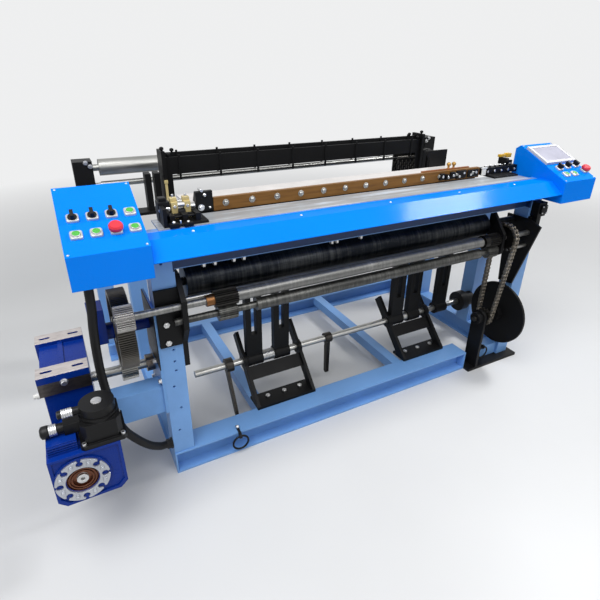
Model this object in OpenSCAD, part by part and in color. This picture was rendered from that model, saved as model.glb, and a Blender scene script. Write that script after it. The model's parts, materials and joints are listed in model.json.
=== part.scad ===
// Wire weaving machine with take-up rollers, sley, heald frames and two operator consoles.
// Millimetres. X runs along the machine, Y from the operator to the back, Z up from the floor.

/* [Frame] */
// Clear width between the two front posts
post_gap = 1690; // [1660:2:1730]
// Width of a front post
post_w = 76; // [72:1:82]
// Depth of a front post
post_d = 80; // [76:1:86]
// Height of the posts, on which the table lies
table_h = 966; // [960:1:980]
// Height and depth of a base beam
beam = 100; // [98:1:102]
// Thickness of the beam flanges
flange_t = 8; // [6:1:10]
// Thickness of the beam webs
web_t = 6; // [5:1:8]
// Depth of the base, front to back
base_d = 1000; // [990:2:1040]

/* [Consoles] */
// Width of an operator console
console_w = 222; // [216:1:236]
// Slope of the console lid in degrees
lid_slope = 24.5; // [20:0.5:28]
// Length of the console lid up its slope
lid_len = 300; // [292:1:308]
// Sheet thickness of covers and consoles
sheet = 3; // [2:0.5:4]
// Diameter of a push button cap
cap_d = 23.4; // [22:0.2:25]
// Diameter of a mushroom stop
stop_d = 40; // [36:1:42]

/* [Rollers] */
// Diameter of the press rollers
roller_d = 45; // [40:1:48]
// Diameter of the press roller shafts
shaft_d = 25; // [20:1:28]
// Tooth module of the press roller gears
gear_m = 3; // [2.8:0.1:3.2]
// Teeth of a press roller gear
gear_z = 18; // [18:1:19]
// Diameter of the take-up roller
takeup_d = 110; // [90:1:116]
// Diameter of the upper back roll
back_d = 75; // [60:1:84]

/* [Drive] */
// Tooth module of the drive gears
drive_m = 2.5; // [2.4:0.05:2.6]
// Teeth of the large gear
big_z = 110; // [104:1:114]
// Teeth of the two pinions
pinion_z = 32; // [30:1:34]
// Teeth of the upper chain sprocket
sprocket_za = 20; // [19:1:21]
// Teeth of the lower chain sprocket
sprocket_zb = 13; // [12:1:14]
// Chain pitch
chain_p = 19.05; // [18.6:0.05:19.4]
// Diameter of the wind-up disc
disc_d = 325; // [300:1:330]

/* [Sley] */
// Diameter of the rocker shaft
rocker_d = 30; // [26:1:34]
// Length of the batten
batten_len = 1300; // [1240:5:1320]
// Height of the batten
batten_h = 46; // [40:1:52]

/* [Harness] */
// Outer width of a heald frame
heald_w = 1400; // [1380:2:1420]
// Height of a heald frame's top bar
heald_bar = 72; // [60:1:80]
// Heddles in each heald frame
heddle_n = 22; // [10:1:24]

/* [Hidden] */
$fn = 48;
fine = 96;
// Running clearance on a shaft's diameter
run = 0.12;
// Small overlap for cuts
eps = 1;

// Frame positions
px0 = post_gap / 2;
px1 = px0 + post_w;
post_y = 5;
post_yb = post_y + post_d;
plate_t = 6;
front_short = 326;
front_x1 = px1 - front_short;
foot_t = 15;
foot_out = 31;
foot_bolt = [22, 16, 50];
foot_block = [150, 15, 65];
rail_y1 = base_d - beam;
tube = 50;
mid_x = [-px0 + 299, px0 - 653];
rear_out = 125;
rear_in = 10;
rear_post_h = table_h - 76;
column_y = 640;
column_h = table_h - 116;
column2_y = [240, 322];
cross_z = table_h - 126;
cross_h = 50;
cross_y = 30;
cross_d = 60;
rib_t = 10;
rib_n = 5;
rib_pitch = 300;
post_hole_d = 9;
post_hole_depth = 12;
// Holes in the left post: from its left edge, below the table
post_holes = [[43, 410], [42, 457], [43, 496], [29, 561], [45, 661], [29, 761], [36, 89]];

// Breast cover and table
cover_drop = 49;
cover_out = 90;
cover_bend = -22;
cover_hem = [24, 4];
hem_in = 2;
lip_y = 45;
lip_z = table_h + sheet;
table_t = 6;
table_x = px1 - 51;
table_y1 = 165;

// Consoles and controls
con_y = -92;
con_z0 = table_h - 89;
con_zf = table_h + 11;
con_x = px1 + console_w / 2;
con_yb = con_y + lid_len * cos(lid_slope);
con_zb = con_zf + lid_len * sin(lid_slope);
con_back = 24;
con_chamfer = 16;
ring_s = 30;
ring_h = 8;
ring_bore = cap_d + 0.6;
cap_up = 11;
cap_down = 5;
knob_l = 28;
knob_t = 10;
knob_h = 14;
knob_base = 4;
stem_d = 20;
stem_bore = stem_d + 0.8;
stop_gap = 5;
stop_h = 14;
stop_edge = 4;
stop_rim = 0.6;
col = [-71.5, -19.5, 32.5, 84.5];
row_top = 152;
row_low = 80;
r_sel = [[-52, 98], [11, 103], [73, 106]];
r_btn = [[-56, 49], [0, 47]];
r_stop = [91, 60];
hmi_x0 = -104;
hmi_w = 212;
hmi_s0 = 134;
hmi_l = 136;
hmi_t = 12;
hmi_rim = 16;
hmi_sink = 2;
hmi_lift = 0.02;
screw_d = 9;
screw_h = 3;
screw_in = 9;

// Press rollers and gears
up_y = -20;
up_z = table_h - 237;
low_z = up_z - gear_m * gear_z;
pinion_r = drive_m * pinion_z / 2;
big_r = drive_m * big_z / 2;
mesh_a = -37.8;
mesh_b = -83.9;
big_y = up_y + (pinion_r + big_r) * cos(mesh_a);
big_zc = up_z + (pinion_r + big_r) * sin(mesh_a);
drv_y = big_y + (pinion_r + big_r) * cos(mesh_b);
drv_z = big_zc + (pinion_r + big_r) * sin(mesh_b);
phase_big = mesh_a + 180 + 180 / big_z;
phase_drv = mesh_b + 180 + 180 / pinion_z - (phase_big - mesh_b) * big_z / pinion_z;
backlash = 0.4;
pressure = 20;
tooth_root = 1.25;
tooth_tip = 0.95;
gear_x0 = -px1 - 126;
gear_x1 = -px1 - 71;
ul_gear = [-px0 + 113, -px0 + 194];
ll_gear = [-px0 + 123, -px0 + 190];
ur_gear = [px0 - 289, px0 - 219];
lr_gear = [px0 - 285, px0 - 225];
up_roll = [ul_gear[1], ur_gear[0] - 36];
low_roll = [ll_gear[1] + 75, lr_gear[0] - 40];
shaft_over = 4;
low_shaft_in = 52;
collar_d = 58;
collar_gap = 8;
bush_d = 40;
bush_l = 28;
web_sink = 12;
rim_w = 17;
hub_big = 92;
rod_d = 20;
rod_y = 25;
rod_z = up_z - 2;
takeup_y = 75;
takeup_z = up_z + 43;
takeup_jd = 30;
takeup_gap = 22;

// Left bracket and right side plate
brk_t = 9;
brk_z = up_z - 152;
brk_face = up_z + 61;
brk_top = up_z + 96;
brk_back = post_yb + 25;
brk_nose = up_y - 24;
brk_low = up_z - 249;
brk_bolt_x = 28;
brk_bolt_z = [17, 87];
lug_t = 18;
side_t = 10;
side_nose = [-60, 41];
side_top = 63;
side_low = 291;
hang_x = [px0 - 209, px0 - 193];
hang_low = low_z - 23;
stub_d = 18;
stub_z = up_z - 64;

// Chain drive
chain_x = px0 - 165;
pin_d = 6;
pin_out = 1.2;
bush_w = 12.7;
link_roller = 11.9;
link_t = 2.4;
link_h = [9, 8.5];
link_waist = [13.4, 12.6];
seat_play = 0.9;
tooth_flare = 2.4;
sprocket_t = 11;
sprocket_tip = 4.2;
ra = sprocket_za * chain_p / (2 * PI);
rb = sprocket_zb * chain_p / (2 * PI);
wind_aim = 298;
wind_back = 24;
link_n = 2 * round((2 * (up_z - wind_aim) + PI * (ra + rb)) / (2 * chain_p));
chain_len = link_n * chain_p;
chain_e = chain_len - PI * (ra + rb);
chain_c = (chain_e + sqrt(chain_e * chain_e - 8 * (ra - rb) * (ra - rb))) / 4;
wind_y = up_y + wind_back;
wind_z = up_z - sqrt(chain_c * chain_c - wind_back * wind_back);
wind_d = 25;
stand_x = [px0 - 205, px0 - 190];
stand_y = [wind_y - 39, wind_y + 41];
stand_hub = 26;
hub_d = 60;
hub_l = 30;
disc_x = px0 - 80;
disc_t = 12;
disc_hub = [72, 22];
wind_over = [10, 14];
wind_hub = [48, 26];
chain_th = atan2(wind_z - up_z, wind_y - up_y);
chain_ga = acos((ra - rb) / chain_c);
arc_a = ra * (360 - 2 * chain_ga) * PI / 180;
run_s = sqrt(chain_c * chain_c - (ra - rb) * (ra - rb));
arc_b = rb * 2 * chain_ga * PI / 180;
step = (arc_a + arc_b + 2 * run_s) / link_n;
phase_a = chain_th + chain_ga + step / 2 / ra * 180 / PI;
first_b = ceil((arc_a + run_s) / step - 0.5);
phase_b = chain_th - chain_ga + ((first_b + 0.5) * step - arc_a - run_s) / rb * 180 / PI;

// Left drive
gb_w = 150;
gb_x = gear_x0 - 173;
gb_y0 = drv_y - 137.5;
gb_y1 = drv_y + 137.5;
gb_z0 = drv_z - 163.7;
gb_top = drv_z + 131.3;
gb_pad = 60;
gb_pad_h = 70;
gb_in = 10;
gb_sink = 15;
gb_rib = [16, 6];
gb_plinth = [14, 8];
gb_boss = 170;
gb_worm_d = 120;
worm_z = drv_z - 101.7;
drive_d = 35;
drive_in = 12;
slot_d = 12;
slot_l = 22;
slot_x = 45;
slot_deep = 16;
gb_xr = gb_x + gb_w / 2;
brkt_y = [15, 85];
brkt_z = [drv_z - 143.7, drv_z - 31.7];
gplate_t = 10;
gplate_z = [drv_z - 143.7, up_z - 14];
gplate_y = 200;
bear_d = 62;
bear_l = 28;
axle_d = 40;
axle_collar = 18;
block_x = [gear_x0 - 71, gear_x0 - 23];
block_w = 80;
block_z = [big_zc - 24, big_zc + 102];
g1_x = [gb_x - 77, gb_x + 118];
g1_y = [up_y - 195, up_y - 65];
g1_z = [worm_z - 84, worm_z + 95];
g1_cut = 22;
g1_rim = 9;
g1_sink = 5;
g1_cap = [6, 84, 19, 103, 36];
g1_groove = [4, 8, 3];
adapt_d = 144;
fl_od = 149;
fl_id = 92;
fl_t = 6;
fl_seat = 158;
fl_bolts = 8;
fl_pcd = 122;
fl_hole = 19;
fl_notch = [13, 151];
bolt_flat = 12;
hex_d = 1.8;
hex_end = 0.9;
bore_deep = 12;
bore_rings = [[86, 78, 9], [70, 62, 5], [54, 32, 8]];
hub_in_d = 12;
servo_x = gb_x + 77;
servo_y = g1_y[0] + 65;
servo_s = 127;
servo_flange = [13, 9];
servo_body = 110;
servo_cut = 14;
servo_z = g1_z[1] + 75;
servo_cap = 98;
servo_brim = [108, 10];
servo_top = g1_z[1] + 115;
servo_disc = [30, 3];
servo_bolt = [10, 5, 53];
plug_z = g1_z[1] + 56;
plug_block = [42, 34];
plug_d = [30, 36, 24];
plug_l = [20, 92, 40, 14];

// Conduit: left of the post, from the front, and share of the console's height
hose_d = 28;
hose_n = 10;
hose_clear = 8;
hose_up = 40;
hose_shape = [[179, -40, 917], [182, -33, 800], [189, -18, 713], [193, -8, 620], [193, -10, 540],
              [187, -25, 460], [177, -42, 390], [159, -50, 330], [125, -42, 268], [87, -20, 205],
              [51, 6, 160], [30, 17, 146], [14, 22, 142], [7, 22, 142], [0, 22, 142]];
hose_pts = [for (h = hose_shape) [-px1 - h[0], h[1], h[2] * (con_z0 + hose_up) / hose_shape[0][2]]];
hose_sub = 5;

// Sley
rock_y = 252;
rock_z = 250;
rock_x = [-px1 + 161, px0 - 5];
sup_x = [[-px0 + 301, -px0 + 584], [px0 - 594, px0 - 335]];
sup_t = 15;
sup_half = 22;
sup_ear = 14;
sup_foot = [83, 172];
sup_foot_t = 12;
sup_top = 92;
sup_bar = [63.6, 30, 7];
sup_bolts = [[71, 152, 230], [52, 133, 217]];
sup_bolt_y = 139;
sword_hub = 62;
sword_w = 74;
sword_t = 30;
sword_in = 3;
sword_slot = [24, 130];
side_play = 0.5;
sley_y = [190, 290];
sley_z = [table_h - 36, table_h + 34];
sley_x = [-batten_len / 2 - 95, batten_len / 2];
arm3_off = 27;
arm3_x = (sup_x[1][1] + sley_x[1] - sword_w) / 2 + arm3_off;
race_x = [sley_x[0], sley_x[1] - 50];
race_y1 = 315;
race_t = 8;
batten_t = 18;
batten_z = table_h + 8;
batten_n = 13;
batten_end = 45;
batten_bolt = 0.55;
bolt_d = 15;
bolt_h = 6;
clamp_x = [-batten_len / 2 - 62, -batten_len / 2 - 2];
clamp_z = [table_h + 12, table_h + 80];
clamp_back = 22;
horn_x = [batten_len / 2 - 210, batten_len / 2 - 75];
horn_y = [318, 326];
horn_z = table_h + 119;
horn_in = [30, 20];
horn_step = [40, 10];
lever_x = [-625, -592];
lever_t = 12;
lever_root = 1.4;
lever_w = 26;
lever_tip = [150, 67];
mid_lever_x = [-112, -96];
mid_lever_w = 22;
mid_lever_tip = [rock_y - 2, 60];
mid_hub = [50, 8];
collar2_d = 46;
flange_bear = [108, 80, 45, 100];

// Harness
heald_y = [660, 700];
heald_t = 12;
heald_top = [table_h + 117, table_h + 130];
heald_low = table_h - 206;
heald_low_h = 40;
stile = 26;
rod2_d = 8;
rod2_z = 92;
rod2_up = 20;
strap_n = 8;
strap_w = 9;
strap_t = 4;
strap_end = 60;
strap_over = 10;
heddle_x = heald_w / 2 - 140;
heddle_pitch = 5.5;
heddle_t = [2, 7];
heddle_over = 8;
guide_gap = 0.6;
guide_t = 16;
guide_y = [638, 726];
guide_z = table_h + 144;
guide_foot = 12;
block2_w = 24;
block2_z = table_h + 56;
block2_x = [32, 70];
block2_y = [10, 60];

// Back rolls
roll_y = base_d - 50;
roll_z = table_h + 42;
roll2_z = table_h - 36;
roll2_d = 28;
roll_len = 2 * px1 + 38;
roll_jd = 30;
roll2_jd = 18;
roll_in = 2;
head_w = 80;
head_d = 45;
head_wall = 20;
head_cap = 34;
head_seat = 16;
head_top = table_h + 79;

// Weft feeder at the left and weft rail at the right
weft_x = -px1 + 71;
weft_w = 145;
weft_y = [58, 160];
weft_t = 8;
weft_ribs = [22, 64, 106];
weft_rib = [16, 8, 26];
weft_rods = [26, 50, 74];
weft_rod_d = 9;
weft_rod_z = 24;
weft_end = [12, 52, 60];
weft_knob = [10, 26, 22, 40];
rail_gap = 50;
rail_x = batten_len / 2 + rail_gap;
rail_out = 61;
rail_y = [118, 196];
rail_bar_gap = 18;
rail_bar_x = batten_len / 2 + rail_bar_gap;
rail_bar_y = [170, 200];
rail_bar_h = 32;
rail_end = 12;
rail_pin = [11, 6, 34];
rail_pin_end = 40;

// Rings and eyes
ring_r = 32;
ring_wire = 8;
eye_x = [-px0 + 183, px0 - 125];
eye_y = [-12, 0];
eye_z = [88, 98];
eye_t = 10;
eye_hole = 9.4;
eye_lip = 10;
eye_low = 9;
eye_up = 13;
eye_tail = [34, 8];

// Whole size, used to set the origin at the bottom centre
box_x0 = g1_x[0];
box_x1 = px1 + console_w;
box_y0 = g1_y[0] - fl_t - bolt_h;
box_y1 = base_d;

// Helpers
module shift() {
    translate([-(box_x0 + box_x1) / 2, -(box_y0 + box_y1) / 2, 0]) children();
}

module span(x, y, z) {
    translate([x[0], y[0], z[0]]) cube([x[1] - x[0], y[1] - y[0], z[1] - z[0]]);
}

module along_x(x, y = 0, z = 0) {
    translate([x[0], y, z]) rotate([90, 0, 90]) linear_extrude(x[1] - x[0]) children();
}

module along_y(y, x = 0, z = 0) {
    translate([x, y[1], z]) rotate([90, 0, 0]) linear_extrude(y[1] - y[0]) children();
}

module rod_x(x, y, z, d, n = 48) {
    translate([x[0], y, z]) rotate([0, 90, 0]) cylinder(d = d, h = x[1] - x[0], $fn = n);
}

module rod_y(x, y, z, d, n = 48) {
    translate([x, y[1], z]) rotate([90, 0, 0]) cylinder(d = d, h = y[1] - y[0], $fn = n);
}

module rod_z(x, y, z, d, n = 48) {
    translate([x, y, z[0]]) cylinder(d = d, h = z[1] - z[0], $fn = n);
}

module h_profile(w, h) {
    f = flange_t;
    a = (w - web_t) / 2;
    b = (w + web_t) / 2;
    polygon([[0, 0], [w, 0], [w, f], [b, f], [b, h - f], [w, h - f], [w, h], [0, h],
             [0, h - f], [a, h - f], [a, f], [0, f]]);
}

module cut_square(s, c) {
    h = s / 2;
    k = h - c;
    polygon([[-k, -h], [k, -h], [h, -k], [h, k], [k, h], [-k, h], [-h, k], [-h, -k]]);
}

function involute(r, r0) = r > r0 ? tan(acos(r0 / r)) * 180 / PI - acos(r0 / r) : 0;

function base_r(m, z) = m * z / 2 * cos(pressure);

function tooth_half(r, m, z) = 90 / z - backlash / (m * z) * 180 / PI
    + involute(m * z / 2, base_r(m, z)) - involute(r, base_r(m, z));

function tooth_radii(m, z) =
    let (pitch = m * z / 2, root = pitch - tooth_root * m, tip = pitch + tooth_tip * m)
    root < base_r(m, z) ? [root, base_r(m, z), pitch, tip] : [root, pitch, tip];

module gear_2d(m, z, phase) {
    radii = tooth_radii(m, z);
    n = len(radii);
    polygon([for (i = [0 : z - 1]) for (k = [0 : 2 * n - 1])
        let (r = k < n ? radii[k] : radii[2 * n - 1 - k], h = tooth_half(r, m, z),
             a = phase + i * 360 / z + (k < n ? -h : h))
        [r * cos(a), r * sin(a)]]);
}

module gear_x(x, y, z0, m, z, phase, bore) {
    along_x(x, y, z0) difference() {
        gear_2d(m, z, phase);
        circle(d = bore);
    }
}

module sprocket_2d(r, z, phase) {
    seat = (link_roller + seat_play) / 2;
    out = r + sprocket_tip;
    wide = seat + tooth_flare;
    difference() {
        circle(r = out, $fn = fine);
        for (i = [0 : z - 1]) rotate(phase + i * 360 / z) {
            translate([r, 0]) circle(r = seat, $fn = 24);
            polygon([[r, -seat], [out + eps, -wide], [out + eps, wide], [r, seat]]);
        }
    }
}

function on_wheel(y, z, r, a) = [y + r * cos(a), z + r * sin(a)];

function chain_at(s) = let (enter = chain_th + chain_ga, leave = chain_th - chain_ga)
    s < arc_a ? on_wheel(up_y, up_z, ra, enter + s / ra * 180 / PI)
    : s < arc_a + run_s ? let (t = (s - arc_a) / run_s)
        (1 - t) * on_wheel(up_y, up_z, ra, leave) + t * on_wheel(wind_y, wind_z, rb, leave)
    : s < arc_a + run_s + arc_b
        ? on_wheel(wind_y, wind_z, rb, leave + (s - arc_a - run_s) / rb * 180 / PI)
    : let (t = (s - arc_a - run_s - arc_b) / run_s)
        (1 - t) * on_wheel(wind_y, wind_z, rb, enter) + t * on_wheel(up_y, up_z, ra, enter);

function link_pos(i) = chain_at(((i % link_n) + 0.5) * step);

module link_2d(i) {
    h = link_h[i % 2];
    w = link_waist[i % 2];
    p = link_pos(i);
    q = link_pos(i + 1);
    d = q - p;
    translate(p) rotate(atan2(d[1], d[0])) {
        circle(r = h, $fn = 32);
        translate([norm(d), 0]) circle(r = h, $fn = 32);
        translate([0, -w / 2]) square([norm(d), w]);
    }
}

module hex_bolt(d, h) {
    cylinder(d = d * hex_d, h = h, $fn = 6);
    translate([0, 0, h]) cylinder(d = d * hex_end, h = h / 3, $fn = 24);
}

module on_lid(side, x, s) {
    translate([side * con_x + x, con_y, con_zf]) rotate([lid_slope, 0, 0]) translate([0, s, 0]) children();
}

// Tube swept through a list of points
function spline(p, i, t) = let (a = p[max(i - 1, 0)], b = p[i], c = p[i + 1], d = p[min(i + 2, len(p) - 1)])
    0.5 * (2 * b + (c - a) * t + (2 * a - 5 * b + 4 * c - d) * t * t + (3 * b - a - 3 * c + d) * t * t * t);

function route(p, sub) = concat([for (i = [0 : len(p) - 2]) for (k = [0 : sub - 1]) spline(p, i, k / sub)],
    [p[len(p) - 1]]);

function unit(v) = v / norm(v);

function ring_of(p, i, r, sides) = let (n = len(p), t = unit(p[min(i + 1, n - 1)] - p[max(i - 1, 0)]),
    u = unit(cross([0, 1, 0], t)), v = cross(t, u))
    [for (k = [0 : sides - 1]) p[i] + r * (cos(k * 360 / sides) * u + sin(k * 360 / sides) * v)];

module sweep(p, d, sides) {
    n = len(p);
    pts = [for (i = [0 : n - 1]) each ring_of(p, i, d / 2, sides)];
    walls = [for (i = [0 : n - 2]) for (k = [0 : sides - 1])
        let (a = i * sides + k, b = i * sides + (k + 1) % sides) [a, a + sides, b + sides, b]];
    first = [for (k = [0 : sides - 1]) k];
    last = [for (k = [sides - 1 : -1 : 0]) (n - 1) * sides + k];
    polyhedron(pts, concat([first], walls, [last]));
}

// Frame
module front_beam() color([0.44, 0.62, 0.85]) shift() {
    along_x([-px1, front_x1]) h_profile(beam, beam);
    span([-px1, -px1 + plate_t], [0, beam], [0, beam]);
    span([front_x1 - plate_t, front_x1], [0, beam], [0, beam]);
}

module portal() color([0.44, 0.62, 0.85]) shift() {
    difference() {
        span([-px1, -px0], [post_y, post_yb], [beam, table_h]);
        for (h = post_holes)
            rod_y(-px1 + h[0], [post_y - eps, post_y + post_hole_depth], table_h - h[1], post_hole_d, 24);
    }
    span([px0, px1], [post_y, post_yb], [foot_t, table_h]);
    span([px0 - foot_block[0], px0], [post_y + foot_block[1], post_yb], [foot_t, foot_t + foot_block[2]]);
    span([-px0, px0], [cross_y, cross_y + cross_d], [cross_z, cross_z + cross_h]);
    for (i = [0 : rib_n - 1]) {
        x = (i - (rib_n - 1) / 2) * rib_pitch;
        span([x, x + rib_t], [cross_y, cross_y + cross_d], [cross_z + cross_h, table_h]);
    }
}

module side_rail(x, y0) {
    along_y([y0, rail_y1], x) h_profile(post_w, beam);
}

module base_frame() color([0.44, 0.62, 0.85]) shift() {
    side_rail(-px1, beam);
    side_rail(px0, post_yb);
    for (x = mid_x) span([x, x + tube], [beam, rail_y1], [beam - tube, beam]);
    along_x([-px1 - rear_out, px1 + rear_out], rail_y1) h_profile(beam, beam);
    for (s = [-1, 1]) {
        x = s * (px1 + rear_out - post_w / 2);
        span([x - post_w / 2, x + post_w / 2], [rail_y1 + rear_in, base_d - rear_in], [beam, rear_post_h]);
        c = s * (px0 + post_w / 2);
        span([c - post_w / 2, c + post_w / 2], [column_y, column_y + post_d], [beam, column_h]);
    }
    span([px0, px1], column2_y, [beam, column_h]);
}

module foot_right() color([0.07, 0.07, 0.08]) shift() {
    span([front_x1, px1 + foot_out], [stand_y[0], post_yb], [0, foot_t]);
    difference() {
        union() {
            span(stand_x, stand_y, [foot_t, wind_z]);
            rod_x(stand_x, wind_y, wind_z, stand_y[1] - stand_y[0]);
            rod_x([stand_x[0] - stand_hub, stand_x[1]], wind_y, wind_z, hub_d);
        }
        rod_x([stand_x[0] - stand_hub - eps, stand_x[1] + eps], wind_y, wind_z, wind_d + run);
    }
}

module table_plate() color([0.60, 0.62, 0.63]) shift() {
    span([-table_x, table_x], [lip_y, table_y1], [table_h, table_h + table_t]);
}

module breast_cover() color([0.04, 0.50, 0.94]) shift() {
    a = [-cover_out, lip_z - cover_drop];
    b = [cover_bend, lip_z];
    d = b - a;
    n = sheet * [d[1], -d[0]] / norm(d);
    along_x([-px1, px1]) union() {
        polygon([a, b, b + n, a + n]);
        polygon([b, [lip_y, lip_z], [lip_y, table_h], [cover_bend, table_h]]);
        polygon([a, a + n, a + [cover_hem[0], -cover_hem[1] - sheet], a + [hem_in, -sheet]]);
    }
}

module console_side(inset) {
    k = inset * (1 / cos(lid_slope) - tan(lid_slope));
    drop = inset / cos(lid_slope);
    top = con_yb - inset * tan(lid_slope / 2);
    back = con_yb + con_back - inset;
    polygon([[con_y + inset, con_z0 + inset], [con_y + inset, con_zf - k],
             [top, con_zf + (top - con_y) * tan(lid_slope) - drop], [back, con_zb - con_chamfer - inset],
             [back, con_z0 + inset]]);
}

module console(side) {
    x0 = side < 0 ? -px1 - console_w : px1;
    difference() {
        along_x([x0, x0 + console_w]) console_side(0);
        along_x([x0 + sheet, x0 + console_w - sheet]) console_side(sheet);
        children();
    }
}

module lid_hole(side, x, s, d) {
    on_lid(side, x, s) translate([0, 0, -2 * sheet - cap_down]) cylinder(d = d, h = 4 * sheet + cap_down);
}

module console_left() color([0.04, 0.50, 0.94]) shift() console(-1) {
    for (x = col) lid_hole(-1, x, row_top, ring_bore);
    for (i = [0, 1, 3]) lid_hole(-1, col[i], row_low, ring_bore);
    lid_hole(-1, col[2], row_low, stem_bore);
    rod_z(hose_pts[0][0], hose_pts[0][1], [con_z0 - eps, con_z0 + sheet + eps], hose_d + hose_clear);
}

module console_right() color([0.04, 0.50, 0.94]) shift() console(1) {
    for (p = r_sel) lid_hole(1, p[0], p[1], ring_bore);
    for (p = r_btn) lid_hole(1, p[0], p[1], ring_bore);
    lid_hole(1, r_stop[0], r_stop[1], stem_bore);
}

module ring_at(side, x, s, bore) {
    on_lid(side, x, s) difference() {
        translate([0, 0, ring_h / 2]) cube([ring_s, ring_s, ring_h], center = true);
        translate([0, 0, -eps]) cylinder(d = bore, h = ring_h + 2 * eps);
    }
}

module lid_screws(side) {
    for (x = [-1, 1]) for (s = [screw_in, lid_len - screw_in])
        on_lid(side, x * (console_w / 2 - screw_in), s) cylinder(d = screw_d, h = screw_h, $fn = 24);
}

module button_rings() color([0.80, 0.81, 0.82]) shift() {
    for (x = col) ring_at(-1, x, row_top, ring_bore);
    for (i = [0, 1, 3]) ring_at(-1, col[i], row_low, ring_bore);
    ring_at(-1, col[2], row_low, stem_bore);
    for (p = r_sel) ring_at(1, p[0], p[1], ring_bore);
    for (p = r_btn) ring_at(1, p[0], p[1], ring_bore);
    ring_at(1, r_stop[0], r_stop[1], stem_bore);
    lid_screws(-1);
    lid_screws(1);
}

module hmi() color([0.72, 0.73, 0.75]) shift()
    on_lid(1, hmi_x0, hmi_s0) translate([0, 0, hmi_lift]) difference() {
        cube([hmi_w, hmi_l, hmi_t]);
        translate([hmi_rim, hmi_rim, hmi_t - hmi_sink])
            cube([hmi_w - 2 * hmi_rim, hmi_l - 2 * hmi_rim, hmi_sink + eps]);
    }

module cap_at(side, x, s) color([0.05, 0.55, 0.16]) shift() on_lid(side, x, s)
    translate([0, 0, -cap_down]) cylinder(d = cap_d, h = cap_up + cap_down);

module knob_at(side, x, s) color([0.06, 0.06, 0.07]) shift() on_lid(side, x, s) {
    translate([0, 0, -cap_down]) cylinder(d = cap_d, h = cap_down + ring_h + knob_base);
    translate([0, 0, ring_h + knob_base + knob_h / 2 - eps]) cube([knob_t, knob_l, knob_h], center = true);
}

module stop_at(side, x, s) color([0.85, 0.12, 0.13]) shift() on_lid(side, x, s) {
    low = ring_h + stop_gap;
    translate([0, 0, -cap_down]) cylinder(d = stem_d, h = cap_down + low + eps);
    rim = stop_h * stop_rim;
    translate([0, 0, low]) cylinder(d = stop_d, h = rim);
    translate([0, 0, low + rim]) cylinder(d1 = stop_d, d2 = stop_d - 2 * stop_edge, h = stop_h - rim);
}

module sel_l1() knob_at(-1, col[0], row_top);
module sel_l2() knob_at(-1, col[1], row_top);
module sel_l3() knob_at(-1, col[2], row_top);
module btn_l1() cap_at(-1, col[3], row_top);
module btn_l2() cap_at(-1, col[0], row_low);
module btn_l3() cap_at(-1, col[1], row_low);
module btn_l4() cap_at(-1, col[3], row_low);
module stop_l() stop_at(-1, col[2], row_low);
module sel_r1() knob_at(1, r_sel[0][0], r_sel[0][1]);
module sel_r2() knob_at(1, r_sel[1][0], r_sel[1][1]);
module sel_r3() knob_at(1, r_sel[2][0], r_sel[2][1]);
module btn_r1() cap_at(1, r_btn[0][0], r_btn[0][1]);
module btn_r2() cap_at(1, r_btn[1][0], r_btn[1][1]);
module stop_r() stop_at(1, r_stop[0], r_stop[1]);

// Take-up rollers
module bracket_left() color([0.07, 0.07, 0.08]) shift() {
    span([-px1, -px0], [post_y - brk_t, post_y], [brk_z, brk_face]);
    x = [-px0 - eps, -px0 + lug_t + eps];
    difference() {
        along_x([-px0, -px0 + lug_t])
            polygon([[brk_nose, low_z - shaft_d], [post_y, brk_z], [post_y, brk_low], [post_yb / 2, brk_low],
                [post_yb, low_z - shaft_d], [brk_back, up_z], [brk_back, brk_top], [rod_y, brk_top],
                [brk_nose, up_z + shaft_d]]);
        rod_x(x, up_y, up_z, shaft_d + run);
        rod_x(x, up_y, low_z, shaft_d + run);
        rod_x(x, takeup_y, takeup_z, takeup_jd + run);
        rod_x(x, rod_y, rod_z, rod_d);
    }
}

module side_plates_right() color([0.07, 0.07, 0.08]) shift() {
    difference() {
        along_x([px0 - side_t, px0])
            polygon([[up_y + side_nose[0], up_z + side_nose[1]], [up_y, up_z + side_top],
                [brk_back, up_z + side_top], [brk_back, up_z], [post_yb, up_z - side_low],
                [post_y, up_z - side_low + side_t]]);
        rod_x([px0 - side_t - eps, px0 + eps], up_y, up_z, shaft_d + run);
        rod_x([px0 - side_t - eps, px0 + eps], takeup_y, takeup_z, takeup_jd + run);
        rod_x([px0 - side_t - eps, px0 + eps], up_y, stub_z, stub_d);
    }
    x = [hang_x[0] - eps, hang_x[1] + eps];
    difference() {
        along_x(hang_x)
            polygon([[brk_nose, up_z + shaft_d], [brk_nose, low_z - shaft_d / 2],
                [up_y - shaft_d / 2, hang_low], [up_y + shaft_d / 2, hang_low],
                [rod_y + rod_d, up_z - shaft_d],
                [takeup_y - shaft_d, up_z + shaft_d], [takeup_y - shaft_d, cross_z], [cross_y, cross_z]]);
        rod_x(x, up_y, up_z, shaft_d + run);
        rod_x(x, up_y, low_z, shaft_d + run);
        rod_x(x, rod_y, rod_z, rod_d);
    }
}

module guide_rod() color([0.75, 0.76, 0.77]) shift() {
    rod_x([-px0, hang_x[1]], rod_y, rod_z, rod_d);
    rod_x([chain_x + hub_l, px0], up_y, stub_z, stub_d);
}

module roller_upper() color([0.75, 0.76, 0.77]) shift() {
    rod_x([gear_x0 - shaft_over, px0 - eps], up_y, up_z, shaft_d);
    rod_x(up_roll, up_y, up_z, roller_d, fine);
}

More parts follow.
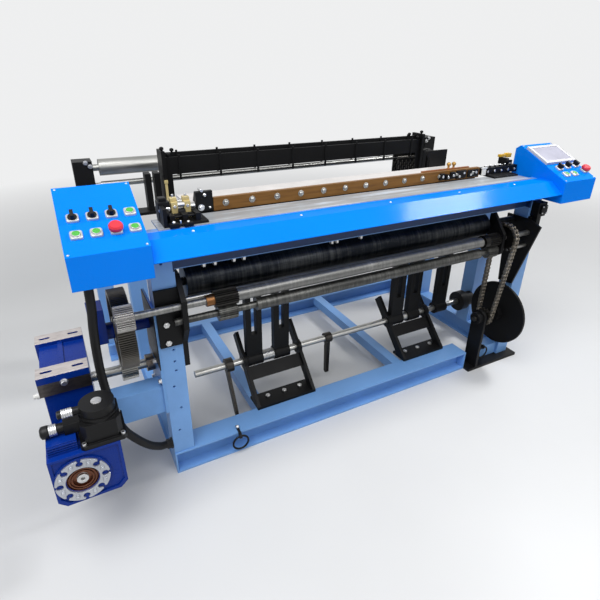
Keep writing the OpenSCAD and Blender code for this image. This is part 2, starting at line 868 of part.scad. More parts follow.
module gears_upper() color([0.32, 0.33, 0.34]) shift() {
    gear_x(ul_gear, up_y, up_z, gear_m, gear_z, -90, shaft_d);
    gear_x(ur_gear, up_y, up_z, gear_m, gear_z, -90, shaft_d);
    gear_x([gear_x0, gear_x1], up_y, up_z, drive_m, pinion_z, mesh_a, shaft_d);
    difference() {
        union() {
            rod_x([up_roll[1] + collar_gap, ur_gear[0]], up_y, up_z, collar_d);
            rod_x([ul_gear[0] - bush_l, ul_gear[0]], up_y, up_z, bush_d);
            along_x([chain_x - sprocket_t / 2, chain_x + sprocket_t / 2], up_y, up_z)
                sprocket_2d(ra, sprocket_za, phase_a);
            rod_x([chain_x, chain_x + hub_l], up_y, up_z, hub_d);
        }
        rod_x([gear_x0, px0], up_y, up_z, shaft_d);
    }
}

module roller_lower() color([0.70, 0.71, 0.72]) shift() {
    rod_x([-px1 + low_shaft_in, hang_x[1] - eps], up_y, low_z, shaft_d);
    rod_x(low_roll, up_y, low_z, roller_d, fine);
    gear_x(ll_gear, up_y, low_z, gear_m, gear_z, 90 + 180 / gear_z, shaft_d - eps);
    gear_x(lr_gear, up_y, low_z, gear_m, gear_z, 90 + 180 / gear_z, shaft_d - eps);
}

module takeup_roller() color([0.16, 0.16, 0.17]) shift() {
    rod_x([-px0 + eps, px0 - eps], takeup_y, takeup_z, takeup_jd);
    rod_x([-px0 + lug_t + takeup_gap, hang_x[0] - takeup_gap], takeup_y, takeup_z, takeup_d, fine);
}

// Chain and wind-up
module link_row(x, first, every) {
    along_x([x, x + link_t]) for (i = [first : every : link_n - 1]) link_2d(i);
}

module chain() color([0.30, 0.30, 0.31]) shift() {
    half = bush_w / 2;
    along_x([chain_x - half, chain_x + half])
        for (i = [0 : link_n - 1]) translate(link_pos(i)) circle(d = link_roller, $fn = 24);
    for (s = [-1, 1]) {
        link_row(chain_x + s * (half + link_t / 2) - link_t / 2, 0, 2);
        link_row(chain_x + s * (half + 1.5 * link_t) - link_t / 2, 1, 2);
        x = chain_x + s * (half + 2 * link_t + pin_out / 2) - pin_out / 2;
        along_x([x, x + pin_out])
            for (i = [0 : link_n - 1]) translate(link_pos(i)) circle(d = pin_d, $fn = 16);
    }
}

module windup_shaft() color([0.42, 0.43, 0.44]) shift() {
    rod_x([stand_x[0] - stand_hub - wind_over[0], disc_x + disc_t + wind_over[1]], wind_y, wind_z, wind_d);
    along_x([chain_x - sprocket_t / 2, chain_x + sprocket_t / 2], wind_y, wind_z)
        sprocket_2d(rb, sprocket_zb, phase_b);
    rod_x([chain_x, chain_x + wind_hub[1]], wind_y, wind_z, wind_hub[0]);
}

module windup_disc() color([0.05, 0.05, 0.06]) shift() difference() {
    union() {
        rod_x([disc_x, disc_x + disc_t], wind_y, wind_z, disc_d, fine);
        rod_x([disc_x - disc_hub[1], disc_x], wind_y, wind_z, disc_hub[0]);
    }
    rod_x([disc_x - disc_hub[1] - eps, disc_x + disc_t + eps], wind_y, wind_z, wind_d);
}

// Left drive
module gear_bracket() color([0.44, 0.62, 0.85]) shift() {
    span([gb_xr, -px1], brkt_y, brkt_z);
    x = [-px1 - gplate_t - bear_l, -px1 - gplate_t];
    difference() {
        union() {
            span([-px1 - gplate_t, -px1], [post_y, gplate_y], gplate_z);
            rod_x(x, drv_y, drv_z, bear_d);
        }
        rod_x([x[0] - eps, -px1 + eps], drv_y, drv_z, drive_d + run);
        rod_x([x[0] - eps, -px1 + eps], big_y, big_zc, axle_d);
    }
}

module gear_axle() color([0.08, 0.22, 0.62]) shift() {
    rod_x([block_x[0], -px1], big_y, big_zc, axle_d);
    span(block_x, [big_y - block_w / 2, big_y + block_w / 2], block_z);
    rod_x([block_x[1], gear_x0 - side_play], big_y, big_zc, axle_d + axle_collar);
}

module big_gear() color([0.38, 0.39, 0.40]) shift() difference() {
    gear_x([gear_x0, gear_x1], big_y, big_zc, drive_m, big_z, phase_big, axle_d + run);
    for (x = [gear_x0 - eps, gear_x1 - web_sink]) difference() {
        rod_x([x, x + web_sink + eps], big_y, big_zc, 2 * (big_r - rim_w), fine);
        rod_x([x - eps, x + web_sink + 2 * eps], big_y, big_zc, hub_big);
    }
}

module drive_shaft() color([0.55, 0.56, 0.57]) shift() {
    rod_x([gb_x - gb_w / 2 + drive_in, -px1 - side_play], drv_y, drv_z, drive_d);
    gear_x([gear_x0, gear_x1], drv_y, drv_z, drive_m, pinion_z, phase_drv, drive_d - eps);
}

module pad_slot(x, y) {
    z = [gb_top - slot_deep, gb_top + eps];
    for (d = [-slot_l / 2, slot_l / 2]) rod_z(x + d, y, z, slot_d, 24);
    span([x - slot_l / 2, x + slot_l / 2], [y - slot_d / 2, y + slot_d / 2], z);
}

module gearbox_main() color([0.05, 0.18, 0.60]) shift() {
    x = [gb_x - gb_w / 2, gb_x + gb_w / 2];
    flat = gb_top - gb_sink;
    pads = [[gb_y0, gb_y0 + gb_pad], [gb_y1 - gb_pad, gb_y1]];
    difference() {
        union() {
            span([x[0] + gb_in, x[1]], [gb_y0 + gb_in, gb_y1 - gb_in], [gb_z0, flat]);
            for (y = pads) span(x, y, [gb_top - gb_pad_h, gb_top]);
            span([gb_x - gb_rib[0] / 2, gb_x + gb_rib[0] / 2], [gb_y0 + gb_in, gb_y1 - gb_in],
                [flat, flat + gb_rib[1]]);
            span(x, [gb_y0, gb_y1], [gb_z0 - gb_plinth[0], gb_z0 + gb_plinth[1]]);
            rod_x([x[0] + gb_in / 2, x[1]], drv_y, drv_z, gb_boss, fine);
            rod_y(gb_x, [gb_y0, gb_y1], worm_z, gb_worm_d, fine);
        }
        rod_x([x[0] - eps, x[1] + eps], drv_y, drv_z, drive_d + run);
        for (y = pads) for (s = [-1, 1]) pad_slot(gb_x + s * slot_x, (y[0] + y[1]) / 2);
    }
}

module g1_outline(inset) {
    x = [g1_x[0] + inset, g1_x[1] - inset];
    z = [g1_z[0] + inset, g1_z[1] - inset];
    c = g1_cut;
    polygon([[x[0] + c, z[0]], [x[1] - c, z[0]], [x[1], z[0] + c], [x[1], z[1]], [x[0], z[1]],
             [x[0], z[0] + c]]);
}

module gearbox_first() color([0.05, 0.18, 0.60]) shift() {
    cap_x = [g1_x[0] + g1_cap[0], g1_x[0] + g1_cap[1]];
    cap_y = [g1_y[0] + g1_cap[2], g1_y[0] + g1_cap[3]];
    cap_z = [g1_z[1], g1_z[1] + g1_cap[4]];
    face = g1_y[0];
    difference() {
        union() {
            along_y(g1_y) g1_outline(0);
            span(cap_x, cap_y, [cap_z[0] - eps, cap_z[1]]);
            rod_y(gb_x, [g1_y[1] - eps, gb_y0], worm_z, adapt_d, fine);
        }
        difference() {
            along_y([face - eps, face + g1_sink]) g1_outline(g1_rim);
            rod_y(gb_x, [face - 2 * eps, face + g1_sink + eps], worm_z, fl_seat, fine);
        }
        for (z = [cap_z[1] : -g1_groove[1] : cap_z[0] + g1_groove[1]])
            span([cap_x[0] - eps, cap_x[1] + eps], [cap_y[0] - eps, cap_y[0] + g1_groove[2]],
                [z - g1_groove[0], z == cap_z[1] ? z + eps : z]);
        for (g = bore_rings) difference() {
            rod_y(gb_x, [face - eps, face + g[2]], worm_z, g[0], fine);
            rod_y(gb_x, [face - 2 * eps, face + g[2] + eps], worm_z, g[1]);
        }
        rod_y(gb_x, [face - eps, face + bore_deep], worm_z, hub_in_d, 24);
    }
}

module round_the_ring(r, n, turn) {
    for (i = [0 : n - 1]) {
        a = (i + turn) * 360 / n;
        translate([gb_x + r * cos(a), 0, worm_z + r * sin(a)]) children();
    }
}

module flange_ring() color([0.70, 0.71, 0.73]) shift() {
    y = [g1_y[0] - fl_t, g1_y[0]];
    cut = [y[0] - eps, y[1] + eps];
    difference() {
        rod_y(gb_x, y, worm_z, fl_od, fine);
        rod_y(gb_x, cut, worm_z, fl_id, fine);
        round_the_ring(fl_pcd / 2, fl_bolts, 0) rod_y(0, cut, 0, fl_hole);
        round_the_ring(fl_notch[1] / 2, fl_bolts, 0) rod_y(0, cut, 0, fl_notch[0]);
    }
    round_the_ring(fl_pcd / 2, fl_bolts, 0.5) rod_y(0, [y[0] - bolt_h, y[0]], 0, bolt_flat, 6);
}

module servo() color([0.06, 0.06, 0.07]) shift() {
    h = servo_body / 2;
    low = g1_z[1];
    face = low + servo_flange[0];
    translate([servo_x, servo_y, low]) linear_extrude(servo_flange[0]) cut_square(servo_s, servo_flange[1]);
    translate([servo_x, servo_y, face]) linear_extrude(servo_z - face) cut_square(servo_body, servo_cut);
    rod_z(servo_x, servo_y, [servo_z, servo_z + servo_brim[1]], servo_brim[0], fine);
    rod_z(servo_x, servo_y, [servo_z, servo_top], servo_cap, fine);
    rod_z(servo_x, servo_y, [servo_top, servo_top + servo_disc[1]], servo_disc[0]);
    for (a = [-1, 1]) for (b = [-1, 1])
        rod_z(servo_x + a * servo_bolt[2], servo_y + b * servo_bolt[2], [face, face + servo_bolt[1]],
            servo_bolt[0], 24);
    rod_x([servo_x - plug_l[1], servo_x - plug_l[2]], servo_y, servo_top - plug_l[3], plug_d[2]);
    x = [servo_x - h - plug_block[0], servo_x - h];
    q = plug_block[1] / 2;
    span(x, [servo_y - q, servo_y + q], [plug_z - q, plug_z + q]);
    rod_x([g1_x[0] + plug_l[0], x[0]], servo_y, plug_z, plug_d[0]);
    rod_x([g1_x[0], g1_x[0] + plug_l[0]], servo_y, plug_z, plug_d[1]);
}

module conduit() color([0.05, 0.05, 0.05]) shift() sweep(route(hose_pts, hose_sub), hose_d, hose_n);

// Sley
module arm_2d() {
    z0 = beam + sup_foot_t;
    k = sup_half * sqrt(2);
    y0 = rock_y - (rock_z - z0);
    top = [rock_y + sup_top, rock_z + sup_top];
    difference() {
        union() {
            polygon([[y0 - k, z0], [y0 + k, z0], top + [k / 2, -k / 2], top + [-k / 2, k / 2]]);
            translate([rock_y, rock_z]) circle(r = sup_half + sup_ear);
        }
        translate([rock_y, rock_z]) circle(d = rocker_d + run);
    }
}

module shaft_supports() color([0.07, 0.07, 0.08]) shift() {
    for (s = sup_x) {
        span(s, sup_foot, [beam, beam + sup_foot_t]);
        along_x([s[0], s[0] + sup_t]) arm_2d();
        along_x([s[1] - sup_t, s[1]]) arm_2d();
        along_x(s, rock_y, rock_z) rotate(45) translate([-sup_bar[0], 0])
            square([2 * sup_bar[1], 2 * sup_bar[2]], center = true);
    }
    x = px0 - flange_bear[3];
    difference() {
        union() {
            rod_x([x, x + flange_bear[2]], rock_y, rock_z, flange_bear[0], fine);
            rod_x([x, px0], rock_y, rock_z, flange_bear[1]);
        }
        rod_x([x - eps, px0 + eps], rock_y, rock_z, rocker_d + run);
    }
}

module frame_bolts() color([0.68, 0.69, 0.70]) shift() {
    for (i = [0, 1]) for (x = sup_bolts[i])
        translate([sup_x[i][0] + x, sup_bolt_y, beam + sup_foot_t]) hex_bolt(bolt_flat, bolt_h);
    for (z = brk_bolt_z)
        translate([-px1 + brk_bolt_x, post_y - brk_t, brk_z + z]) rotate([90, 0, 0])
            hex_bolt(bolt_flat, bolt_h);
    for (x = [front_x1 + foot_bolt[0], px1 + foot_bolt[1]])
        translate([x, foot_bolt[2], foot_t]) hex_bolt(bolt_flat, bolt_h);
    eye(eye_x[0], eye_y[0], eye_z[0], 0, beam);
    eye(eye_x[1], eye_y[1], eye_z[1], post_y + foot_block[1], foot_t + foot_block[2]);
}

module eye(x, y, z, yb, top) {
    difference() {
        along_x([x - eye_t / 2, x + eye_t / 2]) union() {
            polygon([[y, z - eye_low], [yb, z - eye_low], [yb, top], [yb + eye_tail[0], top],
                [yb + eye_tail[0], top + eye_tail[1]], [y, z + eye_up]]);
            translate([y, z]) circle(r = eye_lip);
        }
        rod_x([x - eye_t, x + eye_t], y, z, eye_hole);
    }
}

module ring_at_eye(i) color([0.10, 0.10, 0.11]) shift()
    translate([eye_x[i], eye_y[i], eye_z[i] - ring_r]) rotate([90, 0, 0]) rotate_extrude($fn = fine)
        translate([ring_r, 0]) circle(d = ring_wire, $fn = 24);

module ring_left() ring_at_eye(0);
module ring_right() ring_at_eye(1);

module lever(x, tip, w) {
    d = tip - [rock_y, rock_z];
    n = w / 2 * [-d[1], d[0]] / norm(d);
    c = [rock_y, rock_z];
    along_x(x) difference() {
        union() {
            polygon([c - n * lever_root, c + n * lever_root, tip + n, tip - n]);
            translate(tip) circle(d = w);
        }
        translate(tip) circle(d = w / 3);
        translate(c) circle(d = rocker_d - eps);
    }
}

module rocker_shaft() color([0.72, 0.73, 0.74]) shift() {
    rod_x(rock_x, rock_y, rock_z, rocker_d);
    rod_x(lever_x, rock_y, rock_z, sword_hub);
    lever([lever_x[0], lever_x[0] + lever_t], lever_tip, lever_w);
    rod_x([mid_lever_x[0] - mid_hub[1], mid_lever_x[1] + mid_hub[1]], rock_y, rock_z, mid_hub[0]);
    lever(mid_lever_x, mid_lever_tip, mid_lever_w);
    for (s = sup_x) rod_x([sword_x(s)[0] + sword_w, sword_x(s)[1]], rock_y, rock_z, collar2_d);
}

function sword_x(s) = [s[0] + sup_t + sword_in, s[1] - sup_t - 2 * sup_half - sword_w];

module sword(x) {
    y = [rock_y - sword_t / 2, rock_y + sword_t / 2];
    difference() {
        union() {
            span([x, x + sword_w], y, [rock_z, sley_z[0]]);
            rod_x([x, x + sword_w], rock_y, rock_z, sword_hub);
        }
        rod_x([x - eps, x + sword_w + eps], rock_y, rock_z, rocker_d);
        translate([x + (sword_w - sword_slot[0]) / 2, y[0] - eps, rock_z + sword_slot[1]])
            cube([sword_slot[0], sword_t + 2 * eps, sley_z[0] - rock_z]);
    }
}

module sley_frame() color([0.08, 0.08, 0.09]) shift() {
    for (s = sup_x) for (x = sword_x(s)) sword(x);
    sword(arm3_x);
    span(sley_x, sley_y, sley_z);
    span(clamp_x, [sley_y[0] - batten_t, sley_y[0]], clamp_z);
    along_x(clamp_x) polygon([[sley_y[0], sley_z[1] + race_t], [sley_y[0] + clamp_back, sley_z[1] + race_t],
        [sley_y[0], clamp_z[1]]]);
    inner = [horn_x[0] + horn_in[0], horn_x[1] - horn_in[1]];
    along_y(horn_y) polygon([[inner[0], sley_z[0]], [inner[1], sley_z[0]],
        [horn_x[1], sley_z[1] + horn_step[1]], [horn_x[1], horn_z], [horn_x[0], horn_z],
        [inner[0], sley_z[1] + horn_step[0]]]);
    span(inner, [sley_y[1], horn_y[0]], sley_z);
}

module race_board() color([0.93, 0.94, 0.95]) shift()
    span(race_x, [sley_y[0], race_y1], [sley_z[1], sley_z[1] + race_t]);

module batten() color([0.30, 0.16, 0.08]) shift()
    span([-batten_len / 2, batten_len / 2], [sley_y[0] - batten_t, sley_y[0]],
        [batten_z, batten_z + batten_h]);

module batten_bolts() color([0.74, 0.75, 0.76]) shift()
    for (i = [0 : batten_n - 1])
        rod_y((i - (batten_n - 1) / 2) * (batten_len - 2 * batten_end) / (batten_n - 1),
            [sley_y[0] - batten_t - bolt_h, sley_y[0] - batten_t], batten_z + batten_h * batten_bolt,
            bolt_d, 24);

// Harness
module heald(i) {
    x = heald_w / 2;
    y = [heald_y[i] - heald_t / 2, heald_y[i] + heald_t / 2];
    top = heald_top[i];
    low = top - heald_top[0] + heald_low;
    rod_top = top - rod2_z;
    rod_low = low + heald_low_h + rod2_up;
    span([-x, x], y, [top - heald_bar, top]);
    span([-x, x], y, [low, low + heald_low_h]);
    for (s = [-x, x - stile]) span([s, s + stile], y, [low, top]);
    for (z = [rod_top, rod_low]) rod_x([-x + stile / 2, x - stile / 2], heald_y[i], z, rod2_d, 24);
    for (k = [0 : strap_n - 1]) {
        c = (k - (strap_n - 1) / 2) * (heald_w - 2 * strap_end) / (strap_n - 1);
        cx = [c - strap_w / 2, c + strap_w / 2];
        span(cx, [y[0] - strap_t, y[0]], [rod_top - strap_t, top + strap_over]);
        span(cx, [y[0] - strap_t, heald_y[i]], [rod_top - strap_t, rod_top + strap_t]);
        span(cx, [heald_y[i] - strap_t, heald_y[i] + strap_t], [low + heald_low_h - eps, rod_low + strap_t]);
    }
    for (k = [0 : heddle_n - 1])
        span([heddle_x + k * heddle_pitch, heddle_x + k * heddle_pitch + heddle_t[0]],
            [heald_y[i] - heddle_t[1] / 2, heald_y[i] + heddle_t[1] / 2],
            [rod_low - heddle_over, rod_top + heddle_over]);
}

module heald_front() color([0.09, 0.09, 0.10]) shift() heald(0);
module heald_rear() color([0.09, 0.09, 0.10]) shift() heald(1);

module harness_guides() color([0.08, 0.08, 0.09]) shift() for (s = [-1, 1]) {
    x = s * (heald_w / 2 + guide_gap + guide_t / 2);
    foot_z = column_h + guide_foot;
    span([x - guide_t / 2, x + guide_t / 2], guide_y, [column_h, guide_z]);
    span([min(x, s * px1), max(x, s * px1)], [column_y, column_y + post_d], [column_h, foot_z]);
    for (k = block2_x) span([x + s * k - block2_w / 2, x + s * k + block2_w / 2],
        [guide_y[0] + block2_y[0], guide_y[0] + block2_y[1]], [foot_z, block2_z]);
}

// Back rolls
module back_brackets() color([0.07, 0.07, 0.08]) shift() for (s = [-1, 1]) {
    x = s * (px1 + rear_out - post_w / 2);
    xs = [x - head_w / 2, x + head_w / 2];
    full = [roll_y - head_d, roll_y + head_d];
    difference() {
        union() {
            span(xs, full, [roll_z - head_cap, head_top]);
            span(xs, [full[0], full[0] + head_wall], [rear_post_h, roll_z]);
            span(xs, [full[1] - head_wall, full[1]], [rear_post_h, roll_z]);
            span(xs, full, [rear_post_h, roll2_z + head_seat]);
        }
        rod_x([xs[0] - eps, xs[1] + eps], roll_y, roll_z, roll_jd + run);
        rod_x([xs[0] - eps, xs[1] + eps], roll_y, roll2_z, roll2_jd + run);
    }
}

module back_roll(z, d, jd) {
    x = px1 + rear_out - post_w / 2 + head_w / 2 - roll_in;
    rod_x([-x, x], roll_y, z, jd);
    rod_x([-roll_len / 2, roll_len / 2], roll_y, z, d, fine);
}

module back_roll_upper() color([0.66, 0.67, 0.68]) shift() back_roll(roll_z, back_d, roll_jd);
module back_roll_lower() color([0.66, 0.67, 0.68]) shift() back_roll(roll2_z, roll2_d, roll2_jd);

// Weft feeder at the left and weft rail at the right
module weft_units() color([0.16, 0.16, 0.17]) shift() {
    z = table_h + table_t;
    top = z + weft_t;
    span([weft_x, weft_x + weft_w], weft_y, [z, top]);
    for (x = weft_ribs) span([weft_x + x, weft_x + x + weft_rib[0]],
        [weft_y[0] + weft_rib[1], weft_y[1] - weft_rib[1]], [top, top + weft_rib[2]]);
    for (y = weft_rods) rod_x([weft_x + weft_ribs[0], weft_x + weft_ribs[2] + weft_rib[0]],
        weft_y[0] + y, z + weft_rod_z, weft_rod_d, 24);
    span([weft_x, weft_x + weft_end[0]], [weft_y[0], weft_y[0] + weft_end[1]], [top, z + weft_end[2]]);
    rod_x([weft_x + weft_end[0], weft_x + weft_end[0] + weft_knob[0]], weft_y[0] + weft_knob[2],
        z + weft_knob[3], weft_knob[1]);
    span([rail_x, px1 - rail_out], rail_y, [z, top]);
    span([rail_bar_x, px1 - rail_end], rail_bar_y, [top, top + rail_bar_h]);
    for (x = [rail_x : rail_pin[2] : px1 - rail_pin_end]) rod_z(x, (rail_bar_y[0] + rail_bar_y[1]) / 2,
        [top + rail_bar_h, top + rail_bar_h + rail_pin[1]], rail_pin[0], 24);
}

front_beam();
portal();
base_frame();
foot_right();
harness_guides();
table_plate();
breast_cover();
console_left();
console_right();
button_rings();
hmi();
bracket_left();
side_plates_right();
shaft_supports();
frame_bolts();
gearbox_main();
gearbox_first();
flange_ring();
servo();
gear_bracket();
gear_axle();
back_brackets();
weft_units();
conduit();
chain();
guide_rod();
roller_upper();
gears_upper();
roller_lower();
takeup_roller();
big_gear();
drive_shaft();
windup_shaft();
windup_disc();
rocker_shaft();
sley_frame();
race_board();
batten();
batten_bolts();
heald_front();
heald_rear();
back_roll_upper();
back_roll_lower();
ring_left();
ring_right();
sel_l1();
sel_l2();
sel_l3();
btn_l1();
btn_l2();
btn_l3();
btn_l4();
stop_l();
sel_r1();
sel_r2();
sel_r3();
btn_r1();
btn_r2();
stop_r();
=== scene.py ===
import json
import math

import bmesh
import bpy
from mathutils import Matrix, Vector


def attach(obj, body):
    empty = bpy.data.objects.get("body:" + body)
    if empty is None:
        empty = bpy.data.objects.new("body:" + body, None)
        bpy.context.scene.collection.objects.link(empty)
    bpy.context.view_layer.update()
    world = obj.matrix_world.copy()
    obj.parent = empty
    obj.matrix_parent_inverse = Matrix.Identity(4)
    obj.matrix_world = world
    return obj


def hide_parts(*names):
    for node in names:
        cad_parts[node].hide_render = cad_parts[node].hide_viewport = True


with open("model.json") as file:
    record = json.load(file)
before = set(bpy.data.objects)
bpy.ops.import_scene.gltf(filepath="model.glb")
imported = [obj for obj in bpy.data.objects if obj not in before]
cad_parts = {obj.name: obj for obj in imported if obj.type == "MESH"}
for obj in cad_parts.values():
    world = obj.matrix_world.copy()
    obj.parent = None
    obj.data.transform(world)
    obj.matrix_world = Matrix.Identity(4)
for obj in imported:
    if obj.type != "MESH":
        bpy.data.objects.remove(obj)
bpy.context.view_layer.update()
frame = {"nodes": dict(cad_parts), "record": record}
NODES = frame["nodes"]

# The machine's own millimetres start at the weaving centre and the base's front edge.
MID_X = -77.0
MID_Y = 386.5
MM = 0.001


def at(x, y, z):
    """A point of the machine's millimetres in the row frame, in metres."""
    return Vector(((x - MID_X) * MM, (y - MID_Y) * MM, z * MM))


# Camera of the photograph
CAMERA_AT = (-1123.0, -1360.0, 1442.0)
YAW = 28.205
PITCH = 25.376
ROLL = -0.780
FOCAL_PX = 458.7
FRAME_PX = 600.0
AXIS_PX = 283.0
SENSOR = 36.0


def add_camera():
    """The camera fitted to the photograph."""
    yaw, pitch, roll = (math.radians(v) for v in (YAW, PITCH, ROLL))
    look = Vector((math.sin(yaw) * math.cos(pitch), math.cos(yaw) * math.cos(pitch), -math.sin(pitch)))
    right = Vector((math.cos(yaw), -math.sin(yaw), 0.0))
    down = look.cross(right)
    right_r = right * math.cos(roll) + down * math.sin(roll)
    down_r = down * math.cos(roll) - right * math.sin(roll)
    cam = bpy.data.cameras.new("photo_camera")
    cam.sensor_width = SENSOR
    cam.lens = FOCAL_PX / FRAME_PX * SENSOR
    cam.shift_y = (AXIS_PX - FRAME_PX / 2) / FRAME_PX
    cam.clip_end = 100.0
    obj = bpy.data.objects.new("photo_camera", cam)
    bpy.context.scene.collection.objects.link(obj)
    turn = Matrix((right_r, -down_r, -look)).transposed().to_4x4()
    obj.matrix_world = Matrix.Translation(at(*CAMERA_AT)) @ turn
    bpy.context.scene.camera = obj


# Materials


class Nodes:
    """Short names for building one material's node tree."""

    def __init__(self, name):
        self.material = bpy.data.materials.new(name)
        self.material.use_nodes = True
        self.tree = self.material.node_tree
        self.shader = self.tree.nodes["Principled BSDF"]
        self.coords = self.tree.nodes.new("ShaderNodeTexCoord")

    def add(self, kind, **values):
        node = self.tree.nodes.new(kind)
        for key, value in values.items():
            if hasattr(node, key):
                setattr(node, key, value)
            else:
                node.inputs[key.replace("_", " ")].default_value = value
        return node

    def link(self, a, b):
        self.tree.links.new(a, b)

    def noise(self, scale, detail=4.0, stretch=(1.0, 1.0, 1.0), rough=0.55):
        place = self.add("ShaderNodeMapping")
        place.inputs["Scale"].default_value = stretch
        self.link(self.coords.outputs["Object"], place.inputs["Vector"])
        noise = self.add("ShaderNodeTexNoise", Scale=scale, Detail=detail, Roughness=rough)
        self.link(place.outputs["Vector"], noise.inputs["Vector"])
        return noise.outputs["Fac"]

    def ramp(self, fac, stops):
        ramp = self.add("ShaderNodeValToRGB")
        points = ramp.color_ramp.elements
        while len(points) < len(stops):
            points.new(0.5)
        for point, (place, colour) in zip(points, stops):
            point.position = place
            point.color = (*colour, 1.0)
        self.link(fac, ramp.inputs["Fac"])
        return ramp.outputs["Color"]

    def span(self, fac, low, high):
        span = self.add("ShaderNodeMapRange")
        span.inputs["To Min"].default_value = low
        span.inputs["To Max"].default_value = high
        self.link(fac, span.inputs["Value"])
        return span.outputs["Result"]

    def bump(self, fac, strength, distance, edge=0.0):
        """Fine relief, over edges that look rounded by the given radius in metres."""
        bump = self.add("ShaderNodeBump", Strength=strength, Distance=distance)
        self.link(fac, bump.inputs["Height"])
        if edge:
            soft = self.add("ShaderNodeBevel", samples=4, Radius=edge)
            self.link(soft.outputs["Normal"], bump.inputs["Normal"])
        self.link(bump.outputs["Normal"], self.shader.inputs["Normal"])

    def set(self, **values):
        for key, value in values.items():
            self.shader.inputs[key.replace("_", " ")].default_value = value

    def math(self, kind, a, b=None):
        node = self.add("ShaderNodeMath", operation=kind)
        for socket, value in zip(node.inputs, (a, b)):
            if isinstance(value, float):
                socket.default_value = value
            elif value is not None:
                self.link(value, socket)
        return node.outputs[0]

    def axes(self):
        split = self.add("ShaderNodeSeparateXYZ")
        self.link(self.coords.outputs["Object"], split.inputs[0])
        return split.outputs

    def mix(self, mask, a, b, colour=True):
        node = self.add("ShaderNodeMix", data_type="RGBA" if colour else "FLOAT")
        first = 6 if colour else 2
        for socket, value in ((node.inputs[0], mask), (node.inputs[first], a), (node.inputs[first + 1], b)):
            if isinstance(value, float):
                socket.default_value = value
            else:
                self.link(value, socket)
        return node.outputs[2 if colour else 0]


# Radius, in metres, by which painted edges look rounded
EDGE = 0.0022


def tint(colour, amount):
    """The colour made darker or lighter by a factor."""
    return tuple(max(0.0, min(1.0, c * amount)) for c in colour)


def paint(name, colour, rough, spread=0.10, peel=0.05, coat=0.3, shine=0.5):
    """Sprayed paint: slow tone drift, orange peel and uneven gloss."""
    n = Nodes(name)
    drift = n.noise(2.5, 5.0)
    n.link(n.ramp(drift, [(0.30, tint(colour, 1 - spread)), (0.70, tint(colour, 1 + spread))]),
           n.shader.inputs["Base Color"])
    n.link(n.span(n.noise(9.0, 6.0), rough - 0.08, rough + 0.10), n.shader.inputs["Roughness"])
    n.bump(n.noise(260.0, 2.0), peel, 0.0015, EDGE)
    n.set(Coat_Weight=coat, Coat_Roughness=0.12, Specular_IOR_Level=shine)
    return n.material


def metal(name, colour, rough, stretch, spread=0.12, grain=220.0, lift=0.12):
    """Machined or ground metal with grain along one direction and oily patches."""
    n = Nodes(name)
    patches = n.noise(7.0, 6.0)
    n.link(n.ramp(patches, [(0.25, tint(colour, 1 - spread)), (0.75, tint(colour, 1 + spread))]),
           n.shader.inputs["Base Color"])
    lines = n.noise(grain, 3.0, stretch)
    n.link(n.span(lines, rough - 0.10, rough + 0.14), n.shader.inputs["Roughness"])
    n.bump(lines, lift, 0.0006)
    n.set(Metallic=1.0)
    return n.material


def plastic(name, colour, rough, grain=500.0, lift=0.05, shine=0.5):
    """Moulded plastic with a fine grain."""
    n = Nodes(name)
    n.set(Specular_IOR_Level=shine)
    n.link(n.ramp(n.noise(12.0, 4.0), [(0.3, tint(colour, 0.9)), (0.7, tint(colour, 1.08))]),
           n.shader.inputs["Base Color"])
    n.link(n.span(n.noise(30.0, 5.0), rough - 0.06, rough + 0.10), n.shader.inputs["Roughness"])
    n.bump(n.noise(grain, 2.0), lift, 0.0008)
    return n.material


def board(name, dark, light, rough):
    """Laminated board with streaks along its length."""
    n = Nodes(name)
    streak = n.noise(14.0, 8.0, (0.35, 6.0, 6.0), 0.7)
    n.link(n.ramp(streak, [(0.25, dark), (0.5, tint(light, 0.75)), (0.78, light)]),
           n.shader.inputs["Base Color"])
    n.link(n.span(n.noise(40.0, 5.0), rough - 0.1, rough + 0.12), n.shader.inputs["Roughness"])
    n.bump(streak, 0.15, 0.001)
    n.set(Specular_IOR_Level=0.2)
    return n.material


def scratched(name, colour, light, rough):
    """Dark roller: fine marks round it and soft stains along it."""
    n = Nodes(name)
    marks = n.noise(90.0, 6.0, (1.0, 0.05, 0.05), 0.7)
    stains = n.noise(9.0, 7.0, (0.5, 2.0, 2.0), 0.7)
    both = n.math("MULTIPLY", marks, stains)
    n.link(n.ramp(both, [(0.20, colour), (0.34, tint(light, 0.5)), (0.50, light)]),
           n.shader.inputs["Base Color"])
    n.link(n.span(marks, rough - 0.10, rough + 0.16), n.shader.inputs["Roughness"])
    n.bump(marks, 0.12, 0.0008)
    n.set(Metallic=0.8)
    return n.material


def streaked(name, colour, light, rough):
    """Sheet metal under wrinkled film: pale streaks along X."""
    n = Nodes(name)
    streak = n.noise(5.0, 9.0, (0.5, 9.0, 1.0), 0.7)
    n.link(n.ramp(streak, [(0.30, tint(colour, 0.8)), (0.52, colour), (0.66, light)]),
           n.shader.inputs["Base Color"])
    n.link(n.span(streak, rough - 0.12, rough + 0.14), n.shader.inputs["Roughness"])
    n.bump(streak, 0.35, 0.003)
    n.set(Metallic=0.35)
    return n.material


# A zone's range along an axis that isn't limited
ANY = (-9000.0, 9000.0)


def zone(colour, rough, metallic, x=ANY, y=ANY, z=ANY, disc=None):
    """A region of a solid, in the machine's millimetres, with a finish of its own.

    disc is (axis, centre, centre, radius) about an axis through two coordinates."""
    return {"colour": colour, "rough": rough, "metal": metallic, "box": (x, y, z), "disc": disc}


